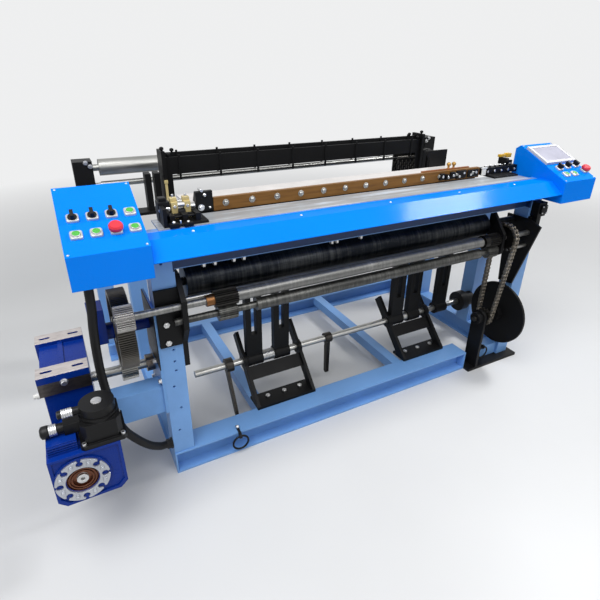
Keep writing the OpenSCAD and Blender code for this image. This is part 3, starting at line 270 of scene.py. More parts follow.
def zone_mask(n, z):
    """A socket that is 1 inside the zone and 0 outside."""
    axes = n.axes()
    shift = (MID_X, MID_Y, 0.0)
    mask = None
    for socket, limits, off in zip(axes, z["box"], shift):
        if limits is ANY:
            continue
        for kind, limit in (("GREATER_THAN", limits[0]), ("LESS_THAN", limits[1])):
            side = n.math(kind, socket, (limit - off) * MM)
            mask = side if mask is None else n.math("MULTIPLY", mask, side)
    if z["disc"]:
        axis, c0, c1, radius = z["disc"]
        pair = [i for i in range(3) if i != "xyz".index(axis)]
        squares = []
        for i, centre in zip(pair, (c0, c1)):
            far = n.math("SUBTRACT", axes[i], (centre - shift[i]) * MM)
            squares.append(n.math("MULTIPLY", far, far))
        near = n.math("LESS_THAN", n.math("ADD", *squares), (radius * MM) ** 2)
        mask = near if mask is None else n.math("MULTIPLY", mask, near)
    return mask


def zoned(name, colour, rough, zones, spread=0.15, peel=0.05, metallic=0.0, shine=0.2, coat=0.0):
    """One solid's finish with regions of other finishes, such as machined faces on paint, and regions of
    painted shade.
    """
    n = Nodes(name)
    patches = n.noise(6.0, 6.0)
    fine = n.noise(60.0, 5.0)
    tone = n.ramp(patches, [(0.3, tint(colour, 1 - spread)), (0.7, tint(colour, 1 + spread))])
    gloss = n.span(fine, rough - 0.08, rough + 0.10)
    bare = metallic
    for z in zones:
        mask = zone_mask(n, z)
        own = n.ramp(n.noise(30.0, 7.0, (1.0, 4.0, 4.0)), [(0.3, tint(z["colour"], 0.78)),
                                                            (0.7, tint(z["colour"], 1.15))])
        tone = n.mix(mask, tone, own)
        gloss = n.mix(mask, gloss, n.span(fine, z["rough"] - 0.08, z["rough"] + 0.12), colour=False)
        bare = n.mix(mask, bare, z["metal"], colour=False)
    n.link(tone, n.shader.inputs["Base Color"])
    n.link(gloss, n.shader.inputs["Roughness"])
    if zones:
        n.link(bare, n.shader.inputs["Metallic"])
    else:
        n.set(Metallic=metallic)
    n.bump(n.noise(240.0, 2.0), peel, 0.0015, EDGE)
    n.set(Specular_IOR_Level=shine, Coat_Weight=coat, Coat_Roughness=0.1)
    return n.material


FRAME_BLUE = (0.165, 0.350, 0.690)
AZURE = (0.001, 0.205, 0.860)
DEEP_BLUE = (0.002, 0.028, 0.240)
# Dark blue painted on as the shade under the cover's lip
PAINTED_SHADE_BLUE = (0.003, 0.032, 0.120)
TAN_METAL = (0.60, 0.55, 0.53)
# Machined steel painted dark as shade, on the gearbox's front pad
PAD_IN_PAINTED_SHADE = (0.12, 0.105, 0.095)
# Dark metal of the rocker's hub, also painted on its levers as shade
DARK_HUB_AND_PAINTED_SHADE = (0.05, 0.046, 0.042)
SILVER = (0.60, 0.60, 0.60)
BRONZE = (0.145, 0.055, 0.030)
EVEN = (1.0, 1.0, 1.0)

# One look for each material slot of the record
LOOKS = {
    "frame_blue": paint("light_blue_paint", FRAME_BLUE, 0.42, coat=0.15, shine=0.35),
    "cover_blue": paint("azure_paint", AZURE, 0.36, spread=0.05, peel=0.22, coat=0.16, shine=0.0),
    "deep_blue": paint("deep_blue_paint", DEEP_BLUE, 0.32, spread=0.25, peel=0.35, coat=0.15, shine=0.1),
    "black_steel": paint("satin_black", (0.0042, 0.0043, 0.0048), 0.46, spread=0.35, coat=0.0, shine=0.16),
    "steel": metal("ground_steel", (0.34, 0.34, 0.325), 0.32, (0.08, 4.0, 4.0), spread=0.2),
    "gear_steel": metal("oiled_steel", (0.10, 0.094, 0.085), 0.38, EVEN, spread=0.35, grain=60.0),
    "dark_roll": scratched("worn_roller", (0.004, 0.006, 0.010), (0.075, 0.080, 0.085), 0.34),
    "silver_trim": metal("satin_silver", (0.64, 0.645, 0.65), 0.30, EVEN, spread=0.10),
    "brown_board": board("brown_laminate", (0.075, 0.028, 0.006), (0.240, 0.112, 0.026), 0.42),
    "white_board": plastic("white_board", (0.60, 0.575, 0.56), 0.36),
    "film_plate": streaked("filmed_plate", (0.42, 0.44, 0.46), (0.70, 0.78, 0.88), 0.34),
    "red_cap": plastic("red_plastic", (0.720, 0.030, 0.050), 0.32),
    "black_plastic": plastic("black_plastic", (0.0055, 0.0055, 0.0062), 0.38, shine=0.25),
    "hose": plastic("black_hose", (0.0050, 0.0050, 0.0055), 0.52, shine=0.25),
}
# Looks of small pieces that only the scene has
EXTRA = {
    "cream": plastic("cream_plastic", (0.52, 0.42, 0.19), 0.40),
    "brass": metal("brass", (0.55, 0.33, 0.10), 0.32, EVEN),
    "copper": metal("copper_bar", (0.45, 0.19, 0.09), 0.38, (0.1, 3.0, 3.0)),
    "yellow": paint("yellow_paint", (0.62, 0.36, 0.012), 0.42),
    "white": plastic("white_plastic", (0.70, 0.70, 0.68), 0.36),
    "chrome": zoned("chrome_trim", (0.56, 0.57, 0.58), 0.30, [], spread=0.06, metallic=0.45, shine=0.5),
    "glass": plastic("screen_film", (0.36, 0.36, 0.44), 0.34, lift=0.01, shine=0.2),
}
# Nodes whose look differs from their slot's, mostly machined regions on a painted solid, and some regions of
# painted shade
OWN_LOOKS = {
    "gearbox_main": zoned("gearbox_finish", DEEP_BLUE, 0.28, [
        zone(TAN_METAL, 0.30, 0.6, z=(574.4, 580.0)),
        # The front pad's machined face is painted dark as shade; it is the same machined steel as the lit top
        # pads
        zone(PAD_IN_PAINTED_SHADE, 0.36, 1.0, y=(-50.0, 2.6), z=(504.0, 551.0))], peel=0.6, coat=0.14, shine=0.1),
    "gearbox_first": zoned("first_gearbox_finish", DEEP_BLUE, 0.28, [
        zone(BRONZE, 0.34, 1.0, y=(-230.0, -190.0), disc=("y", -1220.0, 342.0, 43.5)),
        zone(SILVER, 0.34, 1.0, y=(-230.0, -190.0), disc=("y", -1220.0, 342.0, 16.5))],
        peel=0.6, coat=0.14, shine=0.1),
    "hmi": zoned("panel_finish", (0.54, 0.54, 0.57), 0.42, [], spread=0.06, metallic=0.1, shine=0.2),
    "flange_ring": zoned("flange_finish", (0.46, 0.48, 0.52), 0.30, [], spread=0.2, metallic=0.7, shine=0.5),
    "servo": zoned("servo_finish", (0.0048, 0.0048, 0.0052), 0.38, [
        zone((0.70, 0.70, 0.70), 0.28, 1.0, z=(552.3, 560.0))]),
    "gears_upper": zoned("gear_finish", (0.022, 0.021, 0.020), 0.36, [
        zone((0.36, 0.35, 0.34), 0.32, 1.0, x=(-1060.0, -985.0)),
        zone((0.20, 0.095, 0.040), 0.36, 1.0, x=(-761.0, -732.3), disc=("x", -20.0, 729.0, 20.6))],
        metallic=0.9),
    "roller_upper": scratched("upper_press_roller", (0.16, 0.16, 0.155), (0.50, 0.50, 0.48), 0.32),
    "roller_lower": scratched("lower_press_roller", (0.05, 0.05, 0.048), (0.26, 0.26, 0.245), 0.32),
    "chain": zoned("chain_finish", (0.26, 0.235, 0.20), 0.34, [], spread=0.35, metallic=1.0),
    "gear_bracket": zoned("gear_plate_finish", FRAME_BLUE, 0.42, [
        zone((0.006, 0.008, 0.013), 0.42, 0.0, x=(-945.0, -928.0), z=(486.0, 800.0)),
        zone((0.17, 0.145, 0.125), 0.34, 1.0, x=(-962.0, -931.4), disc=("x", 139.1, 443.7, 31.5))]),
    "portal": zoned("portal_finish", FRAME_BLUE, 0.42, [
        # The cross-beam's front face under the cover's lip is painted dark blue as the shade of the cover's
        # overhang
        zone(PAINTED_SHADE_BLUE, 0.40, 0.0, x=(-850.0, 850.0), y=(0.0, 31.0), z=(843.0, 900.0))],
        spread=0.10, shine=0.35, coat=0.15),
    "rocker_shaft": zoned("rocker_finish", (0.46, 0.46, 0.44), 0.32, [
        # The hub's dark metal is its own; the dark on the levers is painted shade
        zone(DARK_HUB_AND_PAINTED_SHADE, 0.42, 1.0, x=(-626.0, -591.0)),
        zone(DARK_HUB_AND_PAINTED_SHADE, 0.42, 1.0, x=(-121.0, -87.0))], metallic=1.0),
    "frame_bolts": zoned("bolt_finish", SILVER, 0.30, [
        zone((0.006, 0.006, 0.007), 0.42, 0.0, y=(-60.0, 60.0), z=(60.0, 116.0))], metallic=1.0),
}

# Console lids, and each button's side, place across its lid and place up the slope
LID_X = 1032.0
LID_FRONT = (-92.0, 977.0)
LID_SLOPE = 24.5
LENS_R = 10.6
BUTTONS = {"btn_l1": (-1, 84.5, 152), "btn_l2": (-1, -71.5, 80), "btn_l3": (-1, -19.5, 80),
           "btn_l4": (-1, 84.5, 80), "btn_r1": (1, -56, 49), "btn_r2": (1, 0, 47)}


def on_lid(side):
    """Frame of a console's sloping lid: X across, Y up the slope, Z out of it."""
    return (Matrix.Translation((side * LID_X, *LID_FRONT))
            @ Matrix.Rotation(math.radians(LID_SLOPE), 4, "X"))


def lens_cap(name, side, x, s):
    """A button cap with a green lens in a silver rim."""
    n = Nodes(name + "_finish")
    local = n.add("ShaderNodeMapping", vector_type="TEXTURE")
    local.inputs["Location"].default_value = at(*(on_lid(side) @ Vector((x, s, 0.0))))
    local.inputs["Rotation"].default_value = (math.radians(LID_SLOPE), 0.0, 0.0)
    n.link(n.coords.outputs["Object"], local.inputs["Vector"])
    split = n.add("ShaderNodeSeparateXYZ")
    n.link(local.outputs["Vector"], split.inputs[0])
    a, b, _ = split.outputs
    far = n.math("SQRT", n.math("ADD", n.math("MULTIPLY", a, a), n.math("MULTIPLY", b, b)))
    rim = n.math("GREATER_THAN", far, LENS_R * MM)
    lens = n.ramp(n.noise(420.0, 3.0), [(0.35, (0.045, 0.300, 0.040)), (0.65, (0.110, 0.480, 0.090))])
    silver = n.ramp(n.noise(40.0, 4.0), [(0.3, (0.62, 0.62, 0.63)), (0.7, (0.76, 0.76, 0.77))])
    n.link(n.mix(rim, lens, silver), n.shader.inputs["Base Color"])
    n.link(n.span(n.noise(60.0, 4.0), 0.22, 0.36), n.shader.inputs["Roughness"])
    n.link(n.math("MULTIPLY", rim, 0.45), n.shader.inputs["Metallic"])
    n.bump(n.noise(420.0, 3.0), 0.15, 0.001, EDGE)
    n.set(Specular_IOR_Level=0.25)
    return n.material


def dress_nodes():
    """Gives every solid its look."""
    for part in frame["record"]["subparts"]:
        node = part["node"]
        if node in BUTTONS:
            look = lens_cap(node, *BUTTONS[node])
        else:
            look = OWN_LOOKS.get(node) or LOOKS[part["material_slot"]]
        NODES[node].data.materials.clear()
        NODES[node].data.materials.append(look)


# Pieces that the solids leave to the scene


class Build:
    """Collects forms, given in the machine's millimetres, into one mesh."""

    def __init__(self):
        self.bm = bmesh.new()
        self.place = Matrix.Identity(4)

    def vert(self, co):
        """A vertex at a point of the present placing."""
        return self.bm.verts.new(self.place @ Vector(co))

    def box(self, x, y, z, edge=0.0):
        """A block between two places along each axis, with rounded edges."""
        made = bmesh.ops.create_cube(self.bm, size=1.0)["verts"]
        low, high = Vector((x[0], y[0], z[0])), Vector((x[1], y[1], z[1]))
        for v in made:
            v.co = self.place @ Vector(low[i] + (v.co[i] + 0.5) * (high[i] - low[i]) for i in range(3))
        if edge:
            edges = list({e for v in made for e in v.link_edges})
            bmesh.ops.bevel(self.bm, geom=edges, offset=edge, segments=2, profile=0.7, affect="EDGES")

    def lathe(self, axis, origin, profile, sides=24):
        """Turns (along, radius) points about an axis through origin."""
        along, a, b = {"x": (0, 1, 2), "y": (1, 2, 0), "z": (2, 0, 1)}[axis]
        rings = []
        for step, radius in profile:
            ring = []
            for k in range(sides):
                turn = 2 * math.pi * k / sides
                co = list(origin)
                co[along] += step
                co[a] += radius * math.cos(turn)
                co[b] += radius * math.sin(turn)
                ring.append(self.vert(co))
            rings.append(ring)
        for low, high in zip(rings, rings[1:]):
            for k in range(sides):
                j = (k + 1) % sides
                self.bm.faces.new((low[k], low[j], high[j], high[k]))
        self.bm.faces.new(list(reversed(rings[0])))
        self.bm.faces.new(rings[-1])

    def rod(self, axis, origin, length, d, edge=0.8, sides=24):
        """A round bar with broken edges."""
        r = d / 2
        self.lathe(axis, origin, [(0, r - edge), (edge, r), (length - edge, r), (length, r - edge)], sides)

    def hex_head(self, axis, origin, size, height):
        """A hexagon head on a washer; a negative height points back along the axis."""
        way = 1 if height > 0 else -1
        thick = size * 0.12 * way
        self.lathe(axis, origin, [(0, size * 0.72), (thick, size * 0.72)], 24)
        base = list(origin)
        base["xyz".index(axis)] += thick
        r = size * 0.58
        self.lathe(axis, base, [(0, r), (height * 0.8, r), (height, r * 0.84)], 6)

    def dome_head(self, axis, origin, size, height):
        """A low round head."""
        r = size / 2
        profile = [(0, r), (height * 0.35, r), (height * 0.75, r * 0.8), (height, r * 0.4)]
        self.lathe(axis, origin, profile, 20)

    def cap_screw(self, axis, origin, size, height):
        """A socket head: a round drum with a sunk top."""
        r = size / 2
        self.lathe(axis, origin, [(0, r), (height * 0.88, r), (height, r * 0.9), (height, r * 0.55),
                                  (height * 0.45, r * 0.5), (height * 0.45, r * 0.05)], 18)

    def bezel(self, x, y, bore, half=17.0, height=8.0, sides=40):
        """A square ring with round corners about a bore, lying on the XY plane."""
        def square(h, z):
            turns = [2 * math.pi * k / sides for k in range(sides)]
            return [(x + h * math.copysign(abs(math.cos(t)) ** 0.4, math.cos(t)),
                     y + h * math.copysign(abs(math.sin(t)) ** 0.4, math.sin(t)), z) for t in turns]

        def circle(r, z):
            turns = [2 * math.pi * k / sides for k in range(sides)]
            return [(x + r * math.cos(t), y + r * math.sin(t), z) for t in turns]

        lines = [square(half, 0), square(half, height * 0.6), square(half - 0.8, height * 0.86),
                 square(half - 2.2, height), circle(bore / 2 + 1.0, height), circle(bore / 2, height - 0.9),
                 circle(bore / 2, 0)]
        rings = [[self.vert(p) for p in line] for line in lines]
        for low, high in zip(rings, rings[1:] + rings[:1]):
            for k in range(sides):
                j = (k + 1) % sides
                self.bm.faces.new((low[k], low[j], high[j], high[k]))

    def tube(self, points, d, sides=10, ribs=None):
        """A round tube along points; ribs gives the depth of a fold at every second ring."""
        pts = [Vector(p) for p in points]
        rings = []
        up = Vector((0, 1, 0))
        for i, p in enumerate(pts):
            t = (pts[min(i + 1, len(pts) - 1)] - pts[max(i - 1, 0)]).normalized()
            u = up.cross(t).normalized()
            v = t.cross(u)
            r = d / 2 - (ribs if ribs and i % 2 else 0.0)
            turns = [k * 2 * math.pi / sides for k in range(sides)]
            rings.append([self.vert(p + r * (math.cos(a) * u + math.sin(a) * v)) for a in turns])
        for low, high in zip(rings, rings[1:]):
            for k in range(sides):
                j = (k + 1) % sides
                self.bm.faces.new((low[k], low[j], high[j], high[k]))
        self.bm.faces.new(list(reversed(rings[0])))
        self.bm.faces.new(rings[-1])

    def coil(self, axis, origin, length, d, wire, turns):
        """A coil spring of round wire about an axis."""
        steps = int(turns * 14)
        along, a, b = {"x": (0, 1, 2), "y": (1, 2, 0), "z": (2, 0, 1)}[axis]
        pts = []
        for i in range(steps + 1):
            turn = 2 * math.pi * turns * i / steps
            co = list(origin)
            co[along] += length * i / steps
            co[a] += (d - wire) / 2 * math.cos(turn)
            co[b] += (d - wire) / 2 * math.sin(turn)
            pts.append(co)
        self.tube(pts, wire, 7)

    def finish(self, name, look, body, sharp=32.0):
        """Makes the mesh an object that rides on a body; edges sharper than the angle stay sharp."""
        bmesh.ops.recalc_face_normals(self.bm, faces=self.bm.faces[:])
        mesh = bpy.data.meshes.new(name)
        for v in self.bm.verts:
            v.co = at(*v.co)
        self.bm.to_mesh(mesh)
        self.bm.free()
        for face in mesh.polygons:
            face.use_smooth = True
        mesh.set_sharp_from_angle(angle=math.radians(sharp))
        mesh.materials.append(look)
        obj = bpy.data.objects.new(name, mesh)
        bpy.context.scene.collection.objects.link(obj)
        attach(obj, body)
        return obj


# Conduit from the left console to the base, by the same route as its solid
HOSE_D = 28.0
HOSE_RIB = 1.1
HOSE_RIB_STEP = 3.2
HOSE_ROUTE = [(-1100, -40, 917), (-1103, -33, 800), (-1110, -18, 713), (-1114, -8, 620), (-1114, -10, 540),
              (-1108, -25, 460), (-1098, -42, 390), (-1080, -50, 330), (-1046, -42, 268), (-1008, -20, 205),
              (-972, 6, 160), (-951, 17, 146), (-935, 22, 142), (-928, 22, 142), (-921, 22, 142)]


def spline(points, sub):
    """Points of a smooth curve through the given ones."""
    p = [Vector(v) for v in points]
    line = []
    for i in range(len(p) - 1):
        a, b, c, d = p[max(i - 1, 0)], p[i], p[i + 1], p[min(i + 2, len(p) - 1)]
        for k in range(sub):
            t = k / sub
            line.append(0.5 * (2 * b + (c - a) * t + (2 * a - 5 * b + 4 * c - d) * t ** 2
                               + (3 * b - a - 3 * c + d) * t ** 3))
    return line + [p[-1]]


def evenly(line, step):
    """The same curve with points one step apart."""
    spots = [0.0]
    for a, b in zip(line, line[1:]):
        spots.append(spots[-1] + (b - a).length)
    count = max(2, round(spots[-1] / step))
    made, j = [], 0
    for i in range(count + 1):
        s = spots[-1] * i / count
        while j < len(line) - 2 and spots[j + 1] < s:
            j += 1
        part = (s - spots[j]) / max(spots[j + 1] - spots[j], 1e-9)
        made.append(line[j].lerp(line[j + 1], part))
    return made, spots[-1]


def add_conduit():
    """The ribbed hose in place of its plain solid."""
    line, length = evenly(spline(HOSE_ROUTE, 12), HOSE_RIB_STEP)
    b = Build()
    b.tube(line, HOSE_D, 20, HOSE_RIB)
    hose = b.finish("ribbed_conduit", LOOKS["hose"], "frame", 80.0)
    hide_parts("conduit")


def add_piece(name, look, body, forms, sharp=32.0):
    """One mesh from a list of (method of Build, arguments)."""
    b = Build()
    for kind, *values in forms:
        getattr(b, kind)(*values)
    return b.finish(name, look, body, sharp)


def knurl(x0, x1, d, steps):
    """Profile of a ribbed collar between two places along an axis."""
    r = d / 2
    profile = [(0.0, r - 1.5)]
    pitch = (x1 - x0) / steps
    for i in range(steps):
        profile += [(pitch * (i + 0.2), r), (pitch * (i + 0.7), r), (pitch * (i + 0.9), r - 1.0)]
    return profile + [(x1 - x0, r - 1.5)]


SERVO_AT = (-1143.0, -150.0)
SERVO_FLANGE_Z = 450.0
SERVO_PITCH = 53.0
GEAR_PLATE_X = -931.0
GEAR_PLATE_BOLTS = [(85, 477), (162, 363), (16, 436), (71, 307)]


def add_drive_details():
    """Screws, connectors and plugs of the servo and gearboxes, and the conduit's glands."""
    silver, black = LOOKS["silver_trim"], LOOKS["black_plastic"]
    x, y = SERVO_AT
    p = SERVO_PITCH
    add_piece("servo_screws", silver, "frame",
              [("cap_screw", "z", (x + a * p, y + c * p, SERVO_FLANGE_Z), 13, 8)
               for a in (-1, 1) for c in (-1, 1)])
    add_piece("connector_collars", silver, "frame", [
        ("lathe", "x", (-1238, y, 538), knurl(-1238, -1208, 28, 5), 28),
        ("lathe", "x", (-1278, y, 493), knurl(-1278, -1257, 35, 4), 28)])
    add_piece("connector_ends", black, "frame", [
        ("lathe", "x", (-1301, y, 493), [(0, 11), (2, 15), (5, 18), (9, 19), (20, 19), (23, 17)], 28),
        ("lathe", "x", (-1250, y, 538), [(0, 8), (2, 12), (12, 12.6)], 24)])
    add_piece("gear_plate_bolts", silver, "frame",
              [("hex_head", "x", (GEAR_PLATE_X, by, bz), 15, -9) for by, bz in GEAR_PLATE_BOLTS])
    add_piece("gearbox_plugs", silver, "frame", [
        ("hex_head", "y", (-1221, 1.6, 544), 17, -10)])
    add_piece("gearbox_breather", EXTRA["white"], "frame", [
        ("lathe", "x", (-1313, 12, 510), [(0, 5), (2, 8), (9, 8), (10, 11), (18, 11)], 20)])
    add_piece("conduit_glands", black, "frame", [
        ("lathe", "z", (-1100, -40, 896), [(0, 16), (3, 19), (12, 19), (14, 21), (20.5, 21)], 8),
        ("lathe", "x", (-945, 22, 142), [(0, 16), (3, 18.5), (14, 18.5), (16, 21), (23.7, 21)], 8)])


BATTEN_Y = 172.0
BATTEN_BOLTS = 13
BATTEN_PITCH = 1210.0 / 12
BATTEN_BOLT_Z = 999.3
RACE_TOP = 1008.0


def add_sley_details():
    """The batten's bolts and clamps, copper bars, thread knobs and return spring."""
    silver, black = LOOKS["silver_trim"], LOOKS["black_steel"]
    bolts = []
    for i in range(BATTEN_BOLTS):
        spot = ((i - (BATTEN_BOLTS - 1) / 2) * BATTEN_PITCH, BATTEN_Y, BATTEN_BOLT_Z)
        bolts.append(("lathe", "y", spot, [(0, 12), (-1.6, 12), (-2.2, 11)], 24))
        bolts.append(("dome_head", "y", (spot[0], BATTEN_Y - 2, spot[2]), 17, -7))
    heads = add_piece("batten_bolt_heads", LOOKS["steel"], "sley", bolts)
    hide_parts("batten_bolts")
    add_piece("clamp_bolts", silver, "sley", [
        ("dome_head", "y", (-681, BATTEN_Y, 1034), 14, -7), ("dome_head", "y", (-664, BATTEN_Y, 989), 10, -6),
        ("hex_head", "y", (-695, BATTEN_Y, 991), 16, -9), ("rod", "y", (-690, 170, 1050), 30, 12)])
    add_piece("batten_clamps", black, "sley", [
        ("box", (398, 424), (160, BATTEN_Y), (984, 1012), 2),
        ("box", (432, 452), (158, BATTEN_Y), (982, 1006), 2),
        ("box", (462, 488), (160, BATTEN_Y), (984, 1014), 2),
        ("box", (500, 560), (164, BATTEN_Y), (980, 1016), 2),
        ("box", (572, 640), (166, BATTEN_Y), (980, 1014), 2)])
    add_piece("clamp_screws", silver, "sley",
              [("cap_screw", "y", (x, y, z), 11, -5) for x, y, z in (
                  (411, 160, 998), (442, 158, 994), (475, 160, 999), (516, 164, 991), (543, 164, 1004),
                  (590, 166, 992), (622, 166, 1001))])
    add_piece("copper_bars", EXTRA["copper"], "sley", [
        ("box", (318, 604), (194, 204), (RACE_TOP, 1024), 1.5),
        ("box", (350, 590), (212, 219), (RACE_TOP, 1019), 1.2)])
    knob = [(0, 9), (3, 9), (5, 5), (14, 5), (17, 9), (23, 10), (28, 8), (31, 3)]
    add_piece("thread_knobs", EXTRA["brass"], "sley", [
        ("lathe", "z", (486, 208, 1018), knob, 20), ("lathe", "z", (517, 208, 1018), knob, 20),
        ("rod", "z", (486, 208, RACE_TOP), 12, 14), ("rod", "z", (517, 208, RACE_TOP), 12, 14)])
    add_piece("return_spring", silver, "sley",
              [("coil", "x", (-452, 252, 250), 58, 53, 5, 8)], 80.0)


WEFT_TOP = 980.0


def add_weft_details():
    """The feeder's blocks and rollers on the left, and the weft rail's fittings on the right."""
    silver, black, cream = LOOKS["silver_trim"], LOOKS["black_steel"], EXTRA["cream"]
    blocks = [(-810, -788), (-768, -746)]
    add_piece("feeder_blocks", cream, "frame",
              [("box", x, (112, 156), (WEFT_TOP, 1036), 3) for x in blocks]
              + [("box", x, (122, 146), (1034, 1048), 3) for x in blocks])
    add_piece("feeder_rollers", silver, "frame", [
        ("rod", "x", (-790, 118, 1026), 24, 15), ("rod", "x", (-812, 128, 1012), 72, 8),
        ("coil", "x", (-788, 140, 1030), 20, 14, 2.2, 5), ("rod", "z", (-799, 134, 1046), 12, 8),
        ("rod", "z", (-757, 134, 1046), 12, 8), ("cap_screw", "y", (-799, 112, 1022), 10, -4),
        ("cap_screw", "y", (-757, 112, 1022), 10, -4), ("rod", "x", (-746, 124, 1016), 16, 16)])
    add_piece("feeder_box", black, "frame", [
        ("box", (-852, -814), (112, 158), (WEFT_TOP, 1040), 4),
        ("box", (-846, -822), (120, 150), (1038, 1052), 3),
        ("rod", "x", (-790, 118, 1002), 24, 24), ("box", (-836, -806), (40, 60), (972.2, 988), 3),
        ("box", (-790, -760), (40, 60), (972.2, 986), 3), ("rod", "x", (-808, 50, 980), 20, 9)])
    add_piece("feeder_screws", silver, "frame", [
        ("lathe", "y", (-843, 112, 1014), [(0, 9), (-3, 9), (-5, 7)], 24),
        ("lathe", "y", (-822, 112, 1016), [(0, 8), (-3, 8), (-5, 6)], 24),
        ("dome_head", "z", (-821, 50, 988), 12, 6), ("dome_head", "z", (-775, 50, 986), 10, 5),
        ("rod", "z", (-799, 50, 984), 10, 7)])
    add_piece("rail_bolts", silver, "frame",
              [("dome_head", "z", (700 + 34 * i, 185, 1018), 9, 4) for i in range(6)]
              + [("cap_screw", "y", (x, 170, 994), 11, -5) for x in (706, 752, 798, 844, 890)])
    add_piece("rail_tab", EXTRA["white"], "frame", [
        ("box", (664, 690), (165, 170), (980, 1016), 1.2),
        ("box", (660, 694), (164, 171), (1010, 1019), 1.5)])
    add_piece("yellow_bar", EXTRA["yellow"], "frame", [
        ("box", (836, 914), (222, 236), (1044, 1057), 2), ("box", (884, 914), (218, 240), (1040, 1060), 2)])
    add_piece("bar_mount", black, "frame", [
        ("box", (842, 862), (186, 234), (1012, 1044), 3), ("rod", "z", (880, 190, 1012), 22, 14),
        ("rod", "y", (852, 176, 1030), 12, 18)])


FRONT_HEALD_Y = 660.0
REAR_HEALD_Y = 700.0
EYE_COUNT = 22
EYE_X = 561.0
EYE_PITCH = 5.5


def add_harness_details():
    """Knobs on the guides and heald frames, the guide strip and the heddles' eyes."""
    black = LOOKS["black_steel"]
    knob = [(0, 5), (4, 5), (5, 9), (13, 9), (15, 7), (17, 3)]
    for name, body, half, y, top in (("guide_knobs", "frame", 708.6, FRONT_HEALD_Y, 1110),
                                     ("front_heald_knobs", "heald_a", 684, FRONT_HEALD_Y, 1083),
                                     ("rear_heald_knobs", "heald_b", 658, REAR_HEALD_Y, 1096)):
        add_piece(name, black, body,
                  [("lathe", "z", (x, y, top), knob, 18) for x in (-half, half)])
    add_piece("guide_strip", EXTRA["cream"], "frame", [
        ("box", (-715, -704), (631, 638), (896, 984), 1.5),
        ("box", (-717, -702), (629, 638), (978, 992), 1.5)])
    for name, body, y, z in (("front_heddle_eyes", "heald_a", FRONT_HEALD_Y, 991),
                             ("rear_heddle_eyes", "heald_b", REAR_HEALD_Y, 1004)):
        eyes = []
        for k in range(EYE_COUNT):
            x = EYE_X + EYE_PITCH * k
            drop = 14 * (k * 7 % 5)
            eyes.append(("lathe", "x", (x - 2.2, y, z), [(0, 6), (1, 8), (3.4, 8), (4.4, 6)], 14))
            eyes.append(("rod", "z", (x, y - 5, z - 34 - drop), 20, 5, 1.2, 10))
        add_piece(name, LOOKS["gear_steel"], body, eyes)


BEAM_NUT_X = (-740, -701, -633, -596, -237, -214, -103)
BEAM_BOTTOM = 840.0
LIP_SCREW_X = (-774, -390, 0, 360, 697)
LIP_TOP = 969.0
BACK_BOLTS = ((995, 1040), (978, 1023))


def add_frame_details():
    """Nuts and screws of the frame and cover, and the switch on the right post."""
    silver, black = LOOKS["silver_trim"], LOOKS["black_steel"]
    add_piece("beam_nuts", silver, "frame",
              [("hex_head", "z", (x, 42, BEAM_BOTTOM), 15, -12) for x in BEAM_NUT_X])
    add_piece("lip_screws", silver, "frame",
              [("dome_head", "z", (x, 4, LIP_TOP), 9, 3.5) for x in LIP_SCREW_X])
    add_piece("back_bolts", silver, "frame",
              [("hex_head", "y", (s * x, 905, z), 14, -8) for s in (-1, 1) for x, z in BACK_BOLTS])
    add_piece("eye_bolts", silver, "frame", [
        ("dome_head", "z", (-662, 22, 108), 15, 8), ("dome_head", "z", (720, 42, 88), 13, 7)])
    add_piece("limit_switch", black, "frame", [
        ("box", (856, 912), (-36, 5), (806, 874), 4), ("box", (862, 892), (-32, 5), (752, 806), 3),
        ("box", (866, 906), (-46, -36), (820, 862), 3), ("rod", "x", (912, -16, 846), 14, 16),
        ("rod", "z", (877, -14, 740), 14, 16), ("box", (848, 920), (-8, 5), (790, 800), 1)])
    add_piece("switch_screws", silver, "frame",
              [("cap_screw", "y", (x, -46, z), 7, -3) for x in (872, 900) for z in (826, 856)])


LID_SCREWS = [(x, s) for x in (-102, 102) for s in (9, 291)]
CAP_BORE = 24.2
STEM_BORE = 20.8
LEFT_CONTROLS = [(x, 152, CAP_BORE) for x in (-71.5, -19.5, 32.5, 84.5)] + [
    (-71.5, 80, CAP_BORE), (-19.5, 80, CAP_BORE), (32.5, 80, STEM_BORE), (84.5, 80, CAP_BORE)]
RIGHT_CONTROLS = [(-52, 98, CAP_BORE), (11, 103, CAP_BORE), (73, 106, CAP_BORE), (-56, 49, CAP_BORE),
                  (0, 47, CAP_BORE), (91, 60, STEM_BORE)]


def add_bezels():
    """Chromed square rings with round corners about the controls, and the lids' screws."""
    b = Build()
    for side, controls in ((-1, LEFT_CONTROLS), (1, RIGHT_CONTROLS)):
        b.place = on_lid(side)
        for x, s, bore in controls:
            b.bezel(x, s, bore)
        for x, s in LID_SCREWS:
            b.dome_head("z", (x, s, 0), 7.0, 2.4)
    rings = b.finish("chrome_bezels", EXTRA["chrome"], "frame")
    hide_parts("button_rings")


def add_screen():
    """The touch screen's clear face in its frame on the sloping lid."""
    b = Build()
    b.place = on_lid(1)
    b.box((-88, 92), (150, 254), (9.6, 11.0), 0.6)
    b.finish("screen_face", EXTRA["glass"], "frame")


# Light and floor

FLOOR_COLOUR = (0.64, 0.645, 0.65)
BACKDROP = (0.86, 0.865, 0.87)
FLOOR_SIZE = 80.0
FLOOR_NEAR = 2.2
FLOOR_FAR = 5.5
WORLD_COLOUR = (0.92, 0.96, 1.0)
WORLD_STRENGTH = 0.17
# Each lamp's name, place, aim, size in metres and watts
LAMPS = [("overhead", (-2.3, -1.7, 4.8), (0.0, -0.1, 0.5), 3.6, 245.0),
         ("right_bank", (2.85, -0.6, 3.6), (0.4, -0.4, 0.9), 0.85, 88.0),
         ("front", (0.9, -3.2, 3.4), (0.1, 0.0, 0.5), 2.0, 44.0)]


